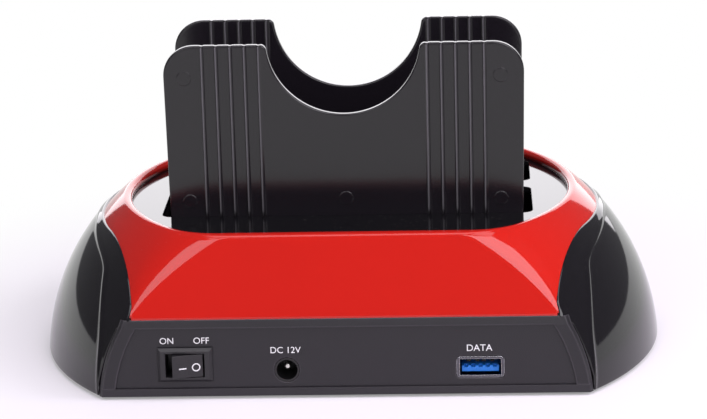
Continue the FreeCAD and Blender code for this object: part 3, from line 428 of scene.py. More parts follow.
# The housing's rounded edges get a painted highlight line in a lighter grey.
housing_black = finish("housing_black", linear(28, 25, 31), 0.40, grain=0.35, grain_scale=3800.0,
                       edge=0.6, dust=0.1, painted_edge_highlight=linear(62, 58, 64))
well_black = finish("well_black", linear(26, 24, 27), 0.35, grain=0.2, edge=0.3)
switch_black = finish("switch_black", linear(34, 32, 36), 0.38, grain=0.2, edge=0.25)
rocker_black = finish("rocker_black", linear(30, 28, 32), 0.33, grain=0.15, edge=0.25)
rubber = finish("black_rubber", linear(24, 24, 25), 0.75, grain=0.5, grain_scale=1500.0, specular=0.35)
jack_black = finish("jack_black", linear(20, 19, 21), 0.30, grain=0.1, edge=0.2)
# The socket's metal gets a near-white painted highlight line along its edges.
bright_metal = finish("bright_metal", linear(92, 91, 97), 0.14, metallic=1.0, edge=0.22, grain=0.05,
                      painted_edge_highlight=linear(242, 242, 246))
nickel = finish("nickel", linear(222, 220, 214), 0.30, metallic=1.0, edge=0.1, grain=0.05)
gold = finish("gold_contacts", linear(226, 178, 92), 0.25, metallic=1.0, edge=0.05)
tongue_blue = finish("tongue_blue", linear(26, 118, 214), 0.35, edge=0.15, grain=0.1)
board_green = finish("board_green", linear(22, 70, 42), 0.32, drift=0.25, coat=0.3, edge=0.1)
chip_black = finish("chip_black", linear(28, 28, 30), 0.5, grain=0.4, edge=0.1)
can_metal = finish("can_metal", linear(176, 178, 182), 0.34, metallic=1.0, edge=0.1)
frosted = finish("frosted_plastic", linear(205, 208, 214), 0.32, transmission=0.45, edge=0.1)
steel = finish("screw_steel", linear(150, 150, 154), 0.28, metallic=1.0, edge=0.12)
ink = finish("white_ink", linear(226, 226, 228), 0.5, grain=0.1, drift=0.04)
print("finishes", len(bpy.data.materials))

# %% [markdown]
# The solids that stay keep their own meshes and only get a finish. These are the base, the deck, the
# wells, the switch, the ports, the board with its parts, the screws and the feet.

# %% Dress the solids that stay
dressing = (
    (matt_black, ("bottom_cover",)),
    (housing_black, ("lower_housing",)),
    (deck_gloss, ("top_deck",)),
    (well_black, ("rear_bay_well", "front_bay_well", "rear_bay_flap", "front_bay_flap",
                  "rear_drive_connector", "front_drive_connector")),
    (switch_black, ("switch_housing",)),
    (rocker_black, ("switch_rocker",)),
    (rubber, ("rubber_feet",)),
    (jack_black, ("power_jack_body",)),
    (bright_metal, ("data_socket_shell",)),
    (nickel, ("power_jack_pin", "power_jack_spring_contact", "switch_terminals")),
    (gold, ("data_socket_contacts", "drive_connector_contacts")),
    (tongue_blue, ("data_socket_tongue",)),
    (board_green, ("main_board",)),
    (chip_black, ("board_chips", "power_inductors")),
    (can_metal, ("board_capacitors",)),
    (frosted, ("status_lamps", "light_pipes")),
    (steel, ("case_screws", "board_screws", "well_screws", "plate_screws", "rear_flap_pin",
             "front_flap_pin")),
)
for material, names in dressing:
    for name in names:
        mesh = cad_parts[name].data
        mesh.materials.clear()
        mesh.materials.append(material)
print("dressed", sum(len(names) for _, names in dressing), "solids")

# %% [markdown]
# Every new piece is a grid of points in millimetres, rows by columns, turned into quads. A grid may
# close on itself along either direction. The sign of the volume says whether the faces look outwards,
# and a grid that came out inside out is turned round before it becomes a mesh.

# %% Meshes from grids


def quads(rows, cols, wrap_rows=False, wrap_cols=False):
    """Vertex numbers of the quads of a grid, closed along either direction if asked."""
    index = np.arange(rows * cols).reshape(rows, cols)
    if wrap_rows:
        index = np.vstack([index, index[:1]])
    if wrap_cols:
        index = np.hstack([index, index[:, :1]])
    corners = (index[:-1, :-1], index[:-1, 1:], index[1:, 1:], index[1:, :-1])
    return np.stack(corners, -1).reshape(-1, 4)


def closed_tube(rings, sides):
    """Quads of a tube of rings, closed at either end by a flat fan. The sides are even in number."""
    fan = np.array([(0, k, k + 1, k + 2) for k in range(1, sides - 1, 2)])
    return np.vstack([quads(rings, sides, False, True), fan[:, ::-1], fan + (rings - 1) * sides])


def outward(points, faces):
    """The quads of a closed mesh, turned round if the volume they enclose comes out negative."""
    a, b, c, d = (points[faces[:, k]] for k in range(4))
    volume = np.einsum("ij,ij->", a, np.cross(b, c)) + np.einsum("ij,ij->", a, np.cross(c, d))
    return faces[:, ::-1] if volume < 0 else faces


def add_piece(name, points, faces, material, body, replaced=()):
    """A smooth mesh object from points in mm and quads, which rides on a body."""
    faces = outward(points, faces)
    mesh = bpy.data.meshes.new(name)
    mesh.from_pydata((points * MM).tolist(), [], faces.tolist())
    mesh.shade_smooth()
    mesh.materials.append(material)
    piece = shown(name, mesh)
    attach(piece, body)
    if replaced:
        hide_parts(*replaced)
    print(name, len(points), "points", len(faces), "quads")
    return piece


def joined(parts):
    """Several closed (points, faces) pairs as one, each facing outwards."""
    offset = 0
    all_points, all_faces = [], []
    for points, faces in parts:
        all_points.append(points)
        all_faces.append(outward(points, faces) + offset)
        offset += len(points)
    return np.vstack(all_points), np.vstack(all_faces)


def angles_round(count):
    """Angles once round a circle, evenly spaced."""
    return np.linspace(0, 2 * math.pi, count, endpoint=False)


print("a closed tube of 8 rings and 4 sides has", len(closed_tube(8, 4)), "quads")

# %% [markdown]
# The caps and plates are thin mouldings with rounded rims. The outer face is a patch of points with known
# normals, and the inner face is the same patch moved back by the wall. Rings join the two: they leave the
# outer face along a quarter circle, run straight across, and reach the inner face along a second one.

# %% Thin plates with a rolled rim
roll_steps = 5


def rolled_skin(grid, normal, wall, roll):
    """A plate of even thickness behind a patch, whose rim grows outwards by the radius of its roll."""
    rows, cols = grid.shape[:2]
    index = np.arange(rows * cols).reshape(rows, cols)
    rim = np.concatenate([index[0, :-1], index[:-1, -1], index[-1, :0:-1], index[:0:-1, 0]])
    flat, up = grid.reshape(-1, 3), normal.reshape(-1, 3)
    edge, n = flat[rim], up[rim]
    along = unit(np.roll(edge, -1, 0) - np.roll(edge, 1, 0))
    out = unit(np.cross(along, n))
    if np.einsum("ij,ij->", out, edge - flat.mean(0)) < 0:
        out = -out
    quarter = np.linspace(0, math.pi / 2, roll_steps)[1:]
    turns = [(a, roll * (1 - math.cos(a))) for a in quarter]
    turns += [(a, wall - drop) for a, drop in turns[::-1]]
    rings = [edge + out * roll * math.sin(a) - n * drop for a, drop in turns]
    size = len(rim)
    inner_start = rows * cols + len(rings) * size
    points = np.vstack([flat] + rings + [flat - up * wall])
    chain = [rows * cols + k * size + np.arange(size) for k in range(len(rings))]
    chain = [rim] + chain + [inner_start + rim]
    faces = [quads(rows, cols)]
    for first, second in zip(chain, chain[1:]):
        faces.append(np.stack([np.roll(first, -1), first, second, np.roll(second, -1)], -1))
    faces.append(quads(rows, cols)[:, ::-1] + inner_start)
    return points, np.vstack(faces)


print("a rim is rolled in", 2 * (roll_steps - 1), "rings")

# %% [markdown]
# The casing is a body of revolution whose flank is one arc, cut by a front and a rear face that lean in.
# Its plan at any height is a disc cut flat twice, with rounded corners. That plan is walked as a straight
# run, a corner arc and a side arc, so the same column of points can be followed from the bottom to the
# rim even though the corner grows.

# %% Plan of the casing
flank_points = ((97.4, 0.0), (91.0, 24.0), (73.4, 47.0))
face_levels = np.array([(0.0, 63.7), (21.3, 63.2), (23.8, 62.5), (47.0, 55.9), (60.0, 52.2)])
band_height = 23.8
rim_height = 48.0
shell_inset = 0.6
line_count, corner_count, side_count, side_crowding = 50, 20, 61, 1.8


def circle_through(points):
    """Centre and radius of the circle through three points in the plane."""
    (ax, ay), (bx, by), (cx, cy) = points
    m = np.array([[bx - ax, by - ay], [cx - ax, cy - ay]]) * 2
    v = np.array([bx ** 2 - ax ** 2 + by ** 2 - ay ** 2, cx ** 2 - ax ** 2 + cy ** 2 - ay ** 2])
    x, y = np.linalg.solve(m, v)
    return x, y, math.hypot(ax - x, ay - y)


flank_x, flank_h, flank_r = circle_through(flank_points)


def flank(h, inset=0.0):
    """Radius of the turned body at a height: a point on the flank's arc, moved in by an inset."""
    return flank_x + np.sqrt((flank_r - inset) ** 2 - (h - flank_h) ** 2)


def face_depth(h):
    """Distance from the middle to the front or rear face at a height."""
    return np.interp(h, face_levels[:, 0], face_levels[:, 1])


line_steps = np.sin(np.linspace(0, math.pi / 2, line_count + 1))[:-1]
corner_steps = np.linspace(0, 1, corner_count + 1)[:-1]
side_steps = np.linspace(0, 1, side_count) ** side_crowding
columns = line_count + corner_count + side_count


def quarter_plan(radius, depth, corner):
    """X and Y of a quarter of the plan, from the middle of one face to the middle of one side.

    Each size is one number or an array of rows by columns. The corner arc's centre lies one corner radius
    inside both the disc and the face."""
    radius, depth, corner, _ = np.broadcast_arrays(radius, depth, corner, np.zeros((1, columns)))
    line, bend, side = np.split(np.arange(columns), (line_count, line_count + corner_count))
    cx = np.sqrt((radius - corner) ** 2 - (depth - corner) ** 2)
    cy = corner - depth
    start = np.arctan2(cy, cx)
    turn = -math.pi / 2 + (start[:, bend] + math.pi / 2) * corner_steps
    sweep = start[:, side] * (1 - side_steps)
    x = np.hstack([cx[:, line] * line_steps, cx[:, bend] + corner[:, bend] * np.cos(turn),
                   radius[:, side] * np.cos(sweep)])
    y = np.hstack([-depth[:, line], cy[:, bend] + corner[:, bend] * np.sin(turn),
                   radius[:, side] * np.sin(sweep)])
    return x, y


def whole_plan(x, y, z):
    """A quarter's points mirrored to the full loop, as rows by columns by XYZ."""
    q = np.stack([x, y, z], -1)
    flip_y, flip_x = np.array([1, -1, 1]), np.array([-1, 1, 1])
    return np.concatenate([q, (q * flip_y)[:, -2::-1], (q * flip_y * flip_x)[:, 1:],
                           (q * flip_x)[:, -2:0:-1]], 1)


print("flank arc radius", round(flank_r, 1), "mm, plan columns", 4 * (columns - 1))

# %% [markdown]
# The seam between the red shell and a side cap, seen from the front, is a quarter of an ellipse above a
# straight stretch. The shell's lower edge follows it and runs a little way under the cap's lip: for each
# column of the plan, the lowest height that is still outside the cap is searched on a fine ladder. Where
# the lower edge meets the seam, a small round turns it upwards.

# %% Red shell
seam_x, seam_width, seam_shoulder, seam_top = 64.0, 10.0, 26.0, 42.4
seam_tuck = 0.7
corner_low, corner_growth, corner_least = 1.5, 24.0, 0.4
foot_round, foot_end = 0.8, 64.3
ladder_steps, ladder_past = 500, 0.3


def seam(h, inset=0.0):
    """X of the cap's edge at a height; an inset draws the edge in towards the cap's middle."""
    rise = np.clip((h - seam_shoulder) / (seam_top - inset - seam_shoulder), 0, 1)
    return seam_x + seam_width - (seam_width - inset) * np.sqrt(1 - rise ** 2)


def shell_corner(h):
    """Corner radius of the shell's plan, which grows evenly with height."""
    share = np.clip((h - band_height) / (rim_height - band_height), 0, 1)
    return corner_low + corner_growth * share


def shell_plan(h, inset=0.0):
    """A quarter of the shell's plan at heights given for each column."""
    corner = np.maximum(shell_corner(h) - inset, corner_least)
    return quarter_plan(flank(h, shell_inset) - inset, face_depth(h) - inset, corner)


ladder = np.linspace(band_height, seam_top + ladder_past, ladder_steps)[:, None] * np.ones((1, columns))
ladder_x, _ = shell_plan(ladder)
under_cap = (ladder_x > seam(ladder) + seam_tuck) & (ladder < seam_top - seam_tuck)
lower_edge = np.where(under_cap, ladder, band_height).max(0)[None, :]
foot_x, _ = shell_plan(np.full((1, columns), band_height))
past = np.clip(foot_x - (foot_end - foot_round), 0, foot_round)
lower_edge = np.maximum(lower_edge, band_height + foot_round - np.sqrt(foot_round ** 2 - past ** 2))
print("shell's lower edge from", lower_edge.min(), "to", round(lower_edge.max(), 2), "mm")

# %% [markdown]
# The rim is a round whose arc starts at the slope of the wall below and ends level. The wall leans by 16
# degrees at the front and by about 45 degrees at the sides, so each column starts its arc at its own
# angle. A small lip then drops to the deck, round a mouth with a radius, a half depth and a corner.
# Behind the visible skin a second one closes the shell.

# %% Rim and mesh of the shell
rim_round, lip_round = 1.5, 1.4
mouth = np.array([69.0, 51.6, 18.0])
deck_height, deck_gap, deck_skirt = 45.3, 0.05, 1.8
shell_wall, tuck_wall, wall_drop = 2.2, 1.3, 1.0
tuck_depth, tuck_start, tuck_run = 3.0, 64.5, 2.0
wall_rows, rim_rows, lip_rows, back_rows = 34, 9, 7, 6
lean_step = 0.01


def rim_offsets(lean, turn):
    """How far out of the unrounded edge, and how high, the rim's arc runs at a share of its turn."""
    angle = lean + (math.pi / 2 - lean) * turn
    centre = rim_round * (math.tan(lean) - 1 / math.cos(lean))
    return centre + rim_round * math.cos(angle), rim_height - rim_round * (1 - math.sin(angle))


def red_shell_grid():
    """Rows of the closed cross-section, from the lower edge over the rim and back inside."""
    lean_side, lean_face = (math.atan((reach(rim_height - lean_step) - reach(rim_height)) / lean_step)
                            for reach in (flank, face_depth))
    side_share = np.concatenate([0 * line_steps, corner_steps, 1 + 0 * side_steps])[None, :]
    rows = []
    for turn in np.linspace(0, 1, rim_rows):
        out_side, h_side = rim_offsets(lean_side, turn)
        out_face, h_face = rim_offsets(lean_face, turn)
        h = h_face + (h_side - h_face) * side_share
        if turn == 0:
            h = lower_edge + (h - lower_edge) * np.linspace(0, 1, wall_rows)[:, None]
            rows.append((*shell_plan(h), h))
        else:
            plan = quarter_plan(flank(rim_height, shell_inset) + out_side,
                                face_depth(rim_height) + out_face, shell_corner(rim_height) + out_face)
            rows.append((*plan, h))
    for turn in np.linspace(0, math.pi / 2, lip_rows):
        plan = quarter_plan(*(mouth + lip_round * (1 - math.sin(turn))))
        rows.append((*plan, np.full((1, columns), rim_height - lip_round * (1 - math.cos(turn)))))
    for grow in (0.0, deck_skirt):
        rows.append((*quarter_plan(*(mouth + grow)), np.full((1, columns), deck_height + deck_gap)))
    back = np.linspace(1, 0, back_rows)[:, None]
    h = lower_edge + (deck_height - wall_drop - lower_edge) * back
    rows.append((*shell_plan(h, shell_wall), h))
    tuck = tuck_depth * np.clip((shell_plan(lower_edge)[0] - tuck_start) / tuck_run, 0, 1)
    for inset, down in ((shell_wall, 1), (tuck_wall, 1), (tuck_wall, 0)):
        h = np.maximum(lower_edge - tuck * down, band_height - wall_drop)
        rows.append((*shell_plan(h, inset), h))
    x, y, h = (np.vstack([row[k] for row in rows]) for k in range(3))
    return whole_plan(x, y, h + FOOT)


grid = red_shell_grid()
add_piece("red_shell", grid.reshape(-1, 3), quads(*grid.shape[:2], True, True), red_gloss, "root",
          ["upper_shell"])

# %% [markdown]
# A side cap is one patch of the turned body, from the base to the arched seam. A soft ridge runs up it
# from the base corner and turns back along its top, which gives the real cap its thin upright highlight.
# The ridge is a smooth curve through a few places, and the distance to it is measured on the unrolled
# surface. Beyond the ridge the surface falls away a little towards the seam.

# %% Ridge of the side caps
ridge_places = np.array([(75.2, 64.0, -2.0), (74.7, 61.5, 3.0), (73.6, 57.0, 18.0), (73.3, 46.7, 31.0),
                         (74.4, 37.5, 36.6), (78.9, 14.0, 40.4), (79.4, 0.0, 40.7)])
ridge_points = 120


def smooth_curve(points, count):
    """Points along a Catmull-Rom curve through the given ones."""
    padded = np.vstack([2 * points[0] - points[1], points, 2 * points[-1] - points[-2]])
    place = np.linspace(0, len(points) - 1, count)
    k = np.minimum(place.astype(int), len(points) - 2)
    t = (place - k)[:, None]
    p0, p1, p2, p3 = (padded[k + i] for i in range(4))
    return 0.5 * (2 * p1 + (p2 - p0) * t + (2 * p0 - 5 * p1 + 4 * p2 - p3) * t ** 2
                  + (3 * p1 - p0 - 3 * p2 + p3) * t ** 3)


ridge_x, ridge_y, ridge_h = smooth_curve(ridge_places, ridge_points).T
ridge_flat = np.stack([np.arctan2(ridge_y, ridge_x) * flank(ridge_h), ridge_h], -1)


def ridge_distance(arc, h):
    """Distance to the ridge on the unrolled surface, positive on the seam's side of it."""
    place = np.stack(np.broadcast_arrays(arc, h), -1)
    nearest = ((place[..., None, :] - ridge_flat) ** 2).sum(-1).argmin(-1)
    best = np.full(nearest.shape, np.inf)
    for step in (-1, 0):
        first = np.clip(nearest + step, 0, len(ridge_flat) - 2)
        a, b = ridge_flat[first], ridge_flat[first + 1]
        along, away = b - a, place - a
        share = np.clip((along * away).sum(-1) / (along ** 2).sum(-1), 0, 1)
        gap = np.linalg.norm(away - along * share[..., None], axis=-1)
        side = np.sign(along[..., 1] * away[..., 0] - along[..., 0] * away[..., 1])
        best = np.where(gap < np.abs(best), gap * side, best)
    return best


print("the ridge climbs to", round(ridge_h.max(), 1), "mm")

# %% [markdown]
# The cap's surface is a function of angle and height, so its normals come from the same function, by
# small steps to either side. Its lip overlaps the red shell's edge.

# %% Side caps
cap_wall, cap_roll, cap_edge_inset = 1.1, 0.55, 1.35
face_proud = 0.2
step_low = 21.2
corner_sharpness = 160.0
ridge_rise, ridge_spread = 0.42, 0.8
bevel_fall, bevel_spread = 0.35, 5.0
cap_rows, cap_columns = (26, 8, 6, 50), 321
normal_step, least_sine = 0.002, 1e-6


def cap_surface(angle, h):
    """A point of the cap: on the turned body with its ridge, or on the face, whichever is nearer."""
    radius, depth = flank(h), face_depth(h) + face_proud
    gap = ridge_distance(np.abs(angle) * radius, h)
    radius = radius + ridge_rise * np.exp(-(gap / ridge_spread) ** 2)
    radius = radius - bevel_fall * (1 - np.exp(-(np.maximum(gap, 0) / bevel_spread) ** 2))
    face_reach = depth / np.maximum(np.abs(np.sin(angle)), least_sine)
    reach = radius * (1 + (radius / face_reach) ** corner_sharpness) ** (-1 / corner_sharpness)
    return np.stack([reach * np.cos(angle), reach * np.sin(angle), h + FOOT + 0 * angle], -1)


def cap_patch():
    """Points and normals of the right cap: rows from the base to the top, columns from face to face."""
    base, step, shoulder, arch = cap_rows
    low = np.concatenate([np.linspace(cap_roll, step_low, base),
                          np.linspace(step_low, band_height, step)[1:],
                          np.linspace(band_height, seam_shoulder, shoulder)[1:-1]])
    rise = np.sin(np.linspace(0, math.pi / 2, arch))
    high = seam_shoulder + (seam_top - cap_roll - seam_shoulder) * rise
    h = np.concatenate([low, high])[:, None]
    radius, depth = flank(h), face_depth(h)
    edge_x = seam(h, cap_roll)
    on_side = np.arccos(np.clip(edge_x / radius, -1, 1))
    on_face = np.arctan2(depth, edge_x)
    seam_angle = np.where(radius * np.sin(on_side) <= depth, on_side, on_face)
    housing_angle = np.arcsin((depth - cap_edge_inset - cap_roll) / radius)
    climb = np.clip((h - step_low) / (band_height - step_low), 0, 1)
    end = housing_angle + (seam_angle - housing_angle) * climb
    angle = end * np.sin(np.linspace(-1, 1, cap_columns) * math.pi / 2)[None, :]
    h = h + 0 * angle
    turn = normal_step / radius
    across = cap_surface(angle + turn, h) - cap_surface(angle - turn, h)
    upwards = cap_surface(angle, h + normal_step) - cap_surface(angle, h - normal_step)
    return cap_surface(angle, h), unit(np.cross(across, upwards))


patch, patch_normal = cap_patch()
for name, sign in (("right_side_cap", 1), ("left_side_cap", -1)):
    flip = np.array([sign, 1, 1])
    points, faces = rolled_skin(patch * flip, patch_normal * flip, cap_wall, cap_roll)
    add_piece(name + "_skin", points, faces, black_gloss, "root", [name])

# %% [markdown]
# A guide plate is a flat moulding with tapered sides, round shoulders, a round finger grip and ten ribs
# on its rear face. Each column of the grid stands at one X and ends on the outline, and the columns crowd
# together where the outline is steep. The ribs are a height added to the rear face, so they run into the
# rolled top edge as they do on the real plate. One shoulder of each rib carries a pale painted highlight.

# %% Outline and ribs of the guide plates
plate_top, plate_foot, plate_thickness, plate_roll = 99.3, 20.0, 2.36, 0.5
plate_half, plate_foot_half = 55.3, 54.6
shoulder_radius, grip_radius, grip_depth, grip_corner = 9.5, 23.6, 22.0, 2.0
rib_group_x, rib_pitch, rib_count, rib_proud = 34.4, 4.37, 5, 0.7
rib_base, rib_crown, rib_start, rib_ramp = 0.65, 0.33, 45.6, 0.3
# Width, offset, run up from the ribs' foot and least share of the painted highlight on each rib.
highlight_width, highlight_place, highlight_run, highlight_least = 0.22, 0.6, 2.0, 0.3
grip_points, fillet_points, flat_points, shoulder_points = 42, 8, 150, 24


def plate_top_line():
    """X and height of the plate's upper outline, from its middle to its right side."""
    r, roll = grip_radius, plate_roll
    centre = plate_top - grip_depth + r
    fillet_x = math.sqrt((r + grip_corner) ** 2 - (centre - plate_top + grip_corner) ** 2)
    tilt = math.atan2(fillet_x, centre - plate_top + grip_corner)
    bow = np.linspace(0, tilt, grip_points)[:-1]
    grip_x, grip_h = (r + roll) * np.sin(bow), centre - (r + roll) * np.cos(bow)
    turn = np.linspace(tilt, 0, fillet_points)[:-1]
    corner = grip_corner - roll
    near_x, near_h = fillet_x - corner * np.sin(turn), plate_top - grip_corner + corner * np.cos(turn)
    flat_x = np.linspace(fillet_x, plate_half - shoulder_radius, flat_points)[:-1]
    flat_h = np.full_like(flat_x, plate_top - roll)
    bend = np.linspace(0, math.pi / 2, shoulder_points)
    s = shoulder_radius - roll
    far_x = plate_half - shoulder_radius + s * np.sin(bend)
    far_h = plate_top - shoulder_radius + s * np.cos(bend)
    return np.hstack([grip_x, near_x, flat_x, far_x]), np.hstack([grip_h, near_h, flat_h, far_h])


def rib_distance(x):
    """Signed distance from the nearest rib's middle."""
    places = [side * rib_group_x + (k - (rib_count - 1) / 2) * rib_pitch
              for side in (-1, 1) for k in range(rib_count)]
    gaps = np.stack([x - place for place in places])
    return np.take_along_axis(gaps, np.abs(gaps).argmin(0)[None], 0)[0]


def rib_painted_highlight(x, h):
    """Share of painted highlight: most on the left shoulder of each rib, less near the ribs' foot."""
    line = np.exp(-((rib_distance(x) + rib_crown * highlight_place) / highlight_width) ** 2)
    return line * np.clip((h - rib_start) / highlight_run, highlight_least, 1)


def rib_relief(x, h):
    """Height of the ribs over the rear face: a trapezoid across each rib, from just above the deck."""
    slope = np.clip((rib_base - np.abs(rib_distance(x))) / (rib_base - rib_crown), 0, 1)
    across = slope * slope * (3 - 2 * slope)
    return rib_proud * across * np.clip((h - rib_start) / rib_ramp, 0, 1)


print("the outline has", len(plate_top_line()[0]), "points from the middle to one side")

# %% [markdown]
# Five low round marks, left by the pins that push the moulding out, sit on the rear face. Each is a small
# closed solid of rings. The plate's inner face stays flat, so its points are laid again without the ribs.

# %% Guide plates
mark_radius, mark_proud, mark_sides = 2.3, 0.12, 32
mark_places = ((-48.9, 89.2), (48.0, 89.0), (-48.4, 50.2), (0.0, 50.6), (47.8, 50.0))
mark_profile = np.array([(0.05, 0.55), (0.5, 0.6), (0.8, 1.0), (0.92, 0.9), (0.98, 0.5), (1.0, -0.3),
                         (0.5, -0.5)])
taper_start, taper_run = 11.4, 9.5
low_rows, high_rows, high_crowding = 8, 60, 0.9


def button(x, h, y):
    """A low round mark with a soft edge: rings whose height falls from the crown to the plate."""
    radius, lift = (mark_profile * (mark_radius, mark_proud)).T[:, :, None]
    angle = angles_round(mark_sides)[None, :]
    rings = np.stack([x + radius * np.cos(angle), y - lift + 0 * angle,
                      h + FOOT + radius * np.sin(angle)], -1)
    return rings.reshape(-1, 3), closed_tube(*rings.shape[:2])


def guide_plate(name, rear):
    """One plate whose rear face lies at a given Y."""
    half_x, half_top = plate_top_line()
    x_top = np.concatenate([-half_x[:0:-1], half_x])[None, :]
    top = np.concatenate([half_top[:0:-1], half_top])[None, :]
    ramp_top = rib_start + rib_ramp
    low = np.concatenate([np.linspace(plate_foot + plate_roll, rib_start - rib_ramp, low_rows),
                          [rib_start, ramp_top]])
    share = (np.linspace(0, 1, high_rows)[1:] ** high_crowding)[:, None]
    h = np.vstack([low[:, None] + 0 * top, ramp_top + (top - ramp_top) * share])
    taper = (plate_half - plate_foot_half) * np.clip((plate_top - h) / (plate_top - deck_height), 0, 1)
    outer = np.clip((np.abs(x_top) - rib_group_x - taper_start) / taper_run, 0, 1)
    x = x_top - np.sign(x_top) * taper * outer
    face = np.stack([x, rear - rib_relief(x, h), h + FOOT], -1)
    back = np.stack([x, 0 * x + rear + plate_thickness, h + FOOT], -1)
    points, faces = rolled_skin(face, np.array([0, -1.0, 0]) + 0 * face, plate_thickness, plate_roll)
    points[-x.size:] = back.reshape(-1, 3)
    points, faces = joined([(points, faces)] + [button(mx, mh, rear) for mx, mh in mark_places])
    piece = add_piece(name + "_moulding", points, faces, satin_black, "root",
                      [name])
    # Each point's share of the painted highlight on the rib shoulders, which the satin finish reads.
    values = np.zeros(len(points))
    values[:x.size] = rib_painted_highlight(x, h).ravel()
    piece.data.attributes.new("painted_highlight_share", "FLOAT", "POINT").data.foreach_set("value", values)


for name in ("rear_guide_plate", "front_guide_plate"):
    guide_plate(name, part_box(name)[0].y / MM + rib_proud)

# %% [markdown]
# Each flap turns on a steel pin with two wound springs. The solids hold plain sleeves there, and the
# real coils are modelled here: a wire swept along a helix round the pin, with one end led out under the
# flap.

# %% Flap springs
wire_radius, wire_sides, wire_tip = 0.3, 10, 0.6
coil_radius, coil_turns, coil_points = 1.5, 7, 20
coil_length, coil_back = 5.4, 1.8
leg_length, leg_end, leg_points = 8.5, 0.4, 8
first_across = (0.3, 0.5, 0.8)


def wire(path):
    """A closed tube along a path. Its ring is carried along by turning it with the path's tangent."""
    tangent = unit(np.gradient(path, axis=0))
    across = unit(np.cross(tangent[0], first_across))
    frames = []
    for direction in tangent:
        across = unit(across - direction * np.dot(across, direction))
        frames.append((across, np.cross(direction, across)))
    first, second = np.array(frames).transpose(1, 0, 2)[:, :, None]
    angle = angles_round(wire_sides)[None, :, None]
    size = np.full((len(path), 1, 1), wire_radius)
    size[0] = size[-1] = wire_radius * wire_tip
    body = path[:, None] + (first * np.cos(angle) + second * np.sin(angle)) * size
    return body.reshape(-1, 3), closed_tube(len(path), wire_sides)


def spring_pair(name, body):
    """Two mirrored coils between the spring solid's ends."""
    low, high = (np.array(corner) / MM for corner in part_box(name))
    axis_y, axis_z = high[1] - coil_back, (low[2] + high[2]) / 2
    parts = []
    for side in (-1, 1):
        start = side * (high[0] - coil_length + wire_radius)
        run = side * (coil_length - 2 * wire_radius)
        turn = np.linspace(0, coil_turns * 2 * math.pi, coil_turns * coil_points)
        coil = np.stack([start + run * turn / turn[-1], axis_y - coil_radius * np.sin(turn),
                         axis_z + coil_radius * np.cos(turn)], -1)
        lead = np.linspace(leg_length, leg_end, leg_points)
        leg = np.stack([0 * lead + start, axis_y - lead, 0 * lead + axis_z + coil_radius], -1)
        parts.append(wire(np.vstack([leg, coil])))
    points, faces = joined(parts)
    add_piece(name + "_coils", points, faces, steel, body, [name])


spring_pair("rear_flap_springs", "rear_flap")
spring_pair("front_flap_springs", "front_flap")

# %% [markdown]
# The words by the switch and the ratings by the ports are thin white print. Only plain words and numbers
# are used. Letters are made as text, turned into a mesh, and laid on the sunk panel, which leans a
# little. Each row below holds a word, its X and height, and the height of its capitals.

# %% Printed words
panel_depth = 0.6
print_lift, print_extrude, print_curve_steps = 0.02, 0.01, 6
weld_distance = 1e-5
words = (("ON", -53.44, 17.32, 1.95), ("OFF", -42.95, 17.35, 1.95), ("DC 12V", -17.66, 14.1, 1.95),
         ("DATA", 40.5, 14.15, 2.0))


def panel_y(h):
    """Y of the sunk panel on the side of the ports."""
    lean = (face_levels[0, 1] - face_levels[1, 1]) / face_levels[1, 0]
    return -(face_depth(h) - panel_depth * math.hypot(1, lean))


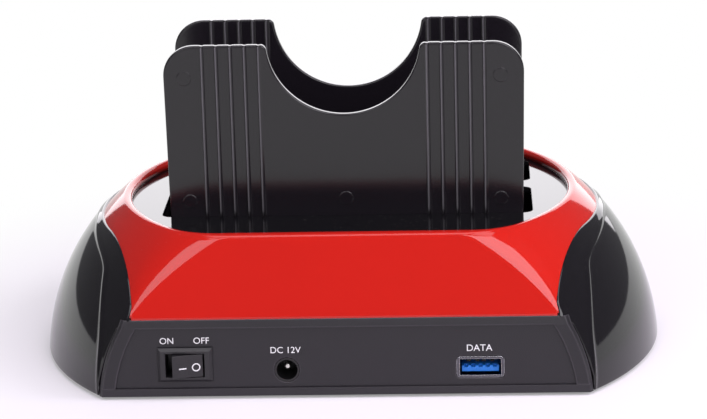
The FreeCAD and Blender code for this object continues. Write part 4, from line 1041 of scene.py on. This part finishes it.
def printed_word(text, x, h, size):
    """A word whose capitals are a given height, centred on a place of the panel."""
    curve = bpy.data.curves.new("print_" + text, "FONT")
    curve.body = text
    curve.resolution_u = print_curve_steps
    curve.extrude = print_extrude
    source = shown("print_source", curve)
    bpy.context.view_layer.update()
    mesh = bpy.data.meshes.new_from_object(source.evaluated_get(bpy.context.evaluated_depsgraph_get()))
    bpy.data.objects.remove(source)
    welded = bmesh.new()
    welded.from_mesh(mesh)
    bmesh.ops.remove_doubles(welded, verts=welded.verts, dist=weld_distance)
    bmesh.ops.recalc_face_normals(welded, faces=welded.faces)
    welded.to_mesh(mesh)
    welded.free()
    places = np.empty(len(mesh.vertices) * 3)
    mesh.vertices.foreach_get("co", places)
    places = places.reshape(-1, 3)
    low, high = places.min(0), places.max(0)
    scale = size / (high[1] - low[1])
    flat = (places - (low + high) / 2) * scale
    level = h + flat[:, 1]
    world = np.stack([x + flat[:, 0], panel_y(level) - print_lift - flat[:, 2], level + FOOT], -1) * MM
    mesh.vertices.foreach_set("co", world.ravel())
    mesh.update()
    mesh.materials.clear()
    mesh.materials.append(ink)
    piece = shown("print_" + text.replace(" ", "_"), mesh)
    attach(piece, "root")
    print("word", text, round((high[0] - low[0]) * scale, 1), "mm wide")


for entry in words:
    printed_word(*entry)

# %% [markdown]
# The rocker carries a bar for on and a ring for off. They follow its dished face and tilt with it, so
# they ride on the rocker's own body. The rocker rests at off, with its left end standing out.

# %% Marks on the rocker
rocker_tilt = math.radians(14.0)
rocker_face, rocker_dish = 3.4, math.radians(3.0)
switch_x, switch_height, pivot_y = -48.0, 9.95, -61.666
mark_low, mark_high, bar_tip_lift = -0.02, 0.03, 0.005
bar_places, bar_middle, bar_half = (-2.65, -1.9, -1.1, -0.35), -0.65, 0.2
ring_place, ring_middle, ring_inner, ring_outer, ring_sides = 2.6, -0.45, 0.93, 1.28, 40


def on_rocker(x, z, lift):
    """Points of the rocker's dished face at a distance along it, turned about its pivot."""
    y = -rocker_face - np.abs(x) * math.tan(rocker_dish) - lift
    c, s = math.cos(rocker_tilt), math.sin(rocker_tilt)
    return np.stack([switch_x + x * c - y * s, pivot_y + x * s + y * c, switch_height + FOOT + z], -1)


def rocker_marks():
    """A bar for on and a ring for off, each with a thin square section."""
    lift = np.array([mark_low, mark_low, mark_high, mark_high])
    x = np.array([bar_places[0], *bar_places, bar_places[-1]])[:, None]
    opened = np.array([0, 1, 1, 1, 1, 0])[:, None]
    z = bar_middle + opened * bar_half * np.array([-1, 1, 1, -1])
    bar = on_rocker(x + 0 * z, z, bar_tip_lift + opened * (lift - bar_tip_lift))
    angle = angles_round(ring_sides)
    radius = np.array([ring_inner, ring_outer, ring_outer, ring_inner])[:, None]
    ring = on_rocker(ring_place + radius * np.cos(angle), ring_middle + radius * np.sin(angle),
                     lift[:, None])
    points, faces = joined([(bar.reshape(-1, 3), quads(*bar.shape[:2], False, True)),
                            (ring.reshape(-1, 3), quads(*ring.shape[:2], True, True))])
    add_piece("rocker_marks", points, faces, ink, "rocker")


rocker_marks()
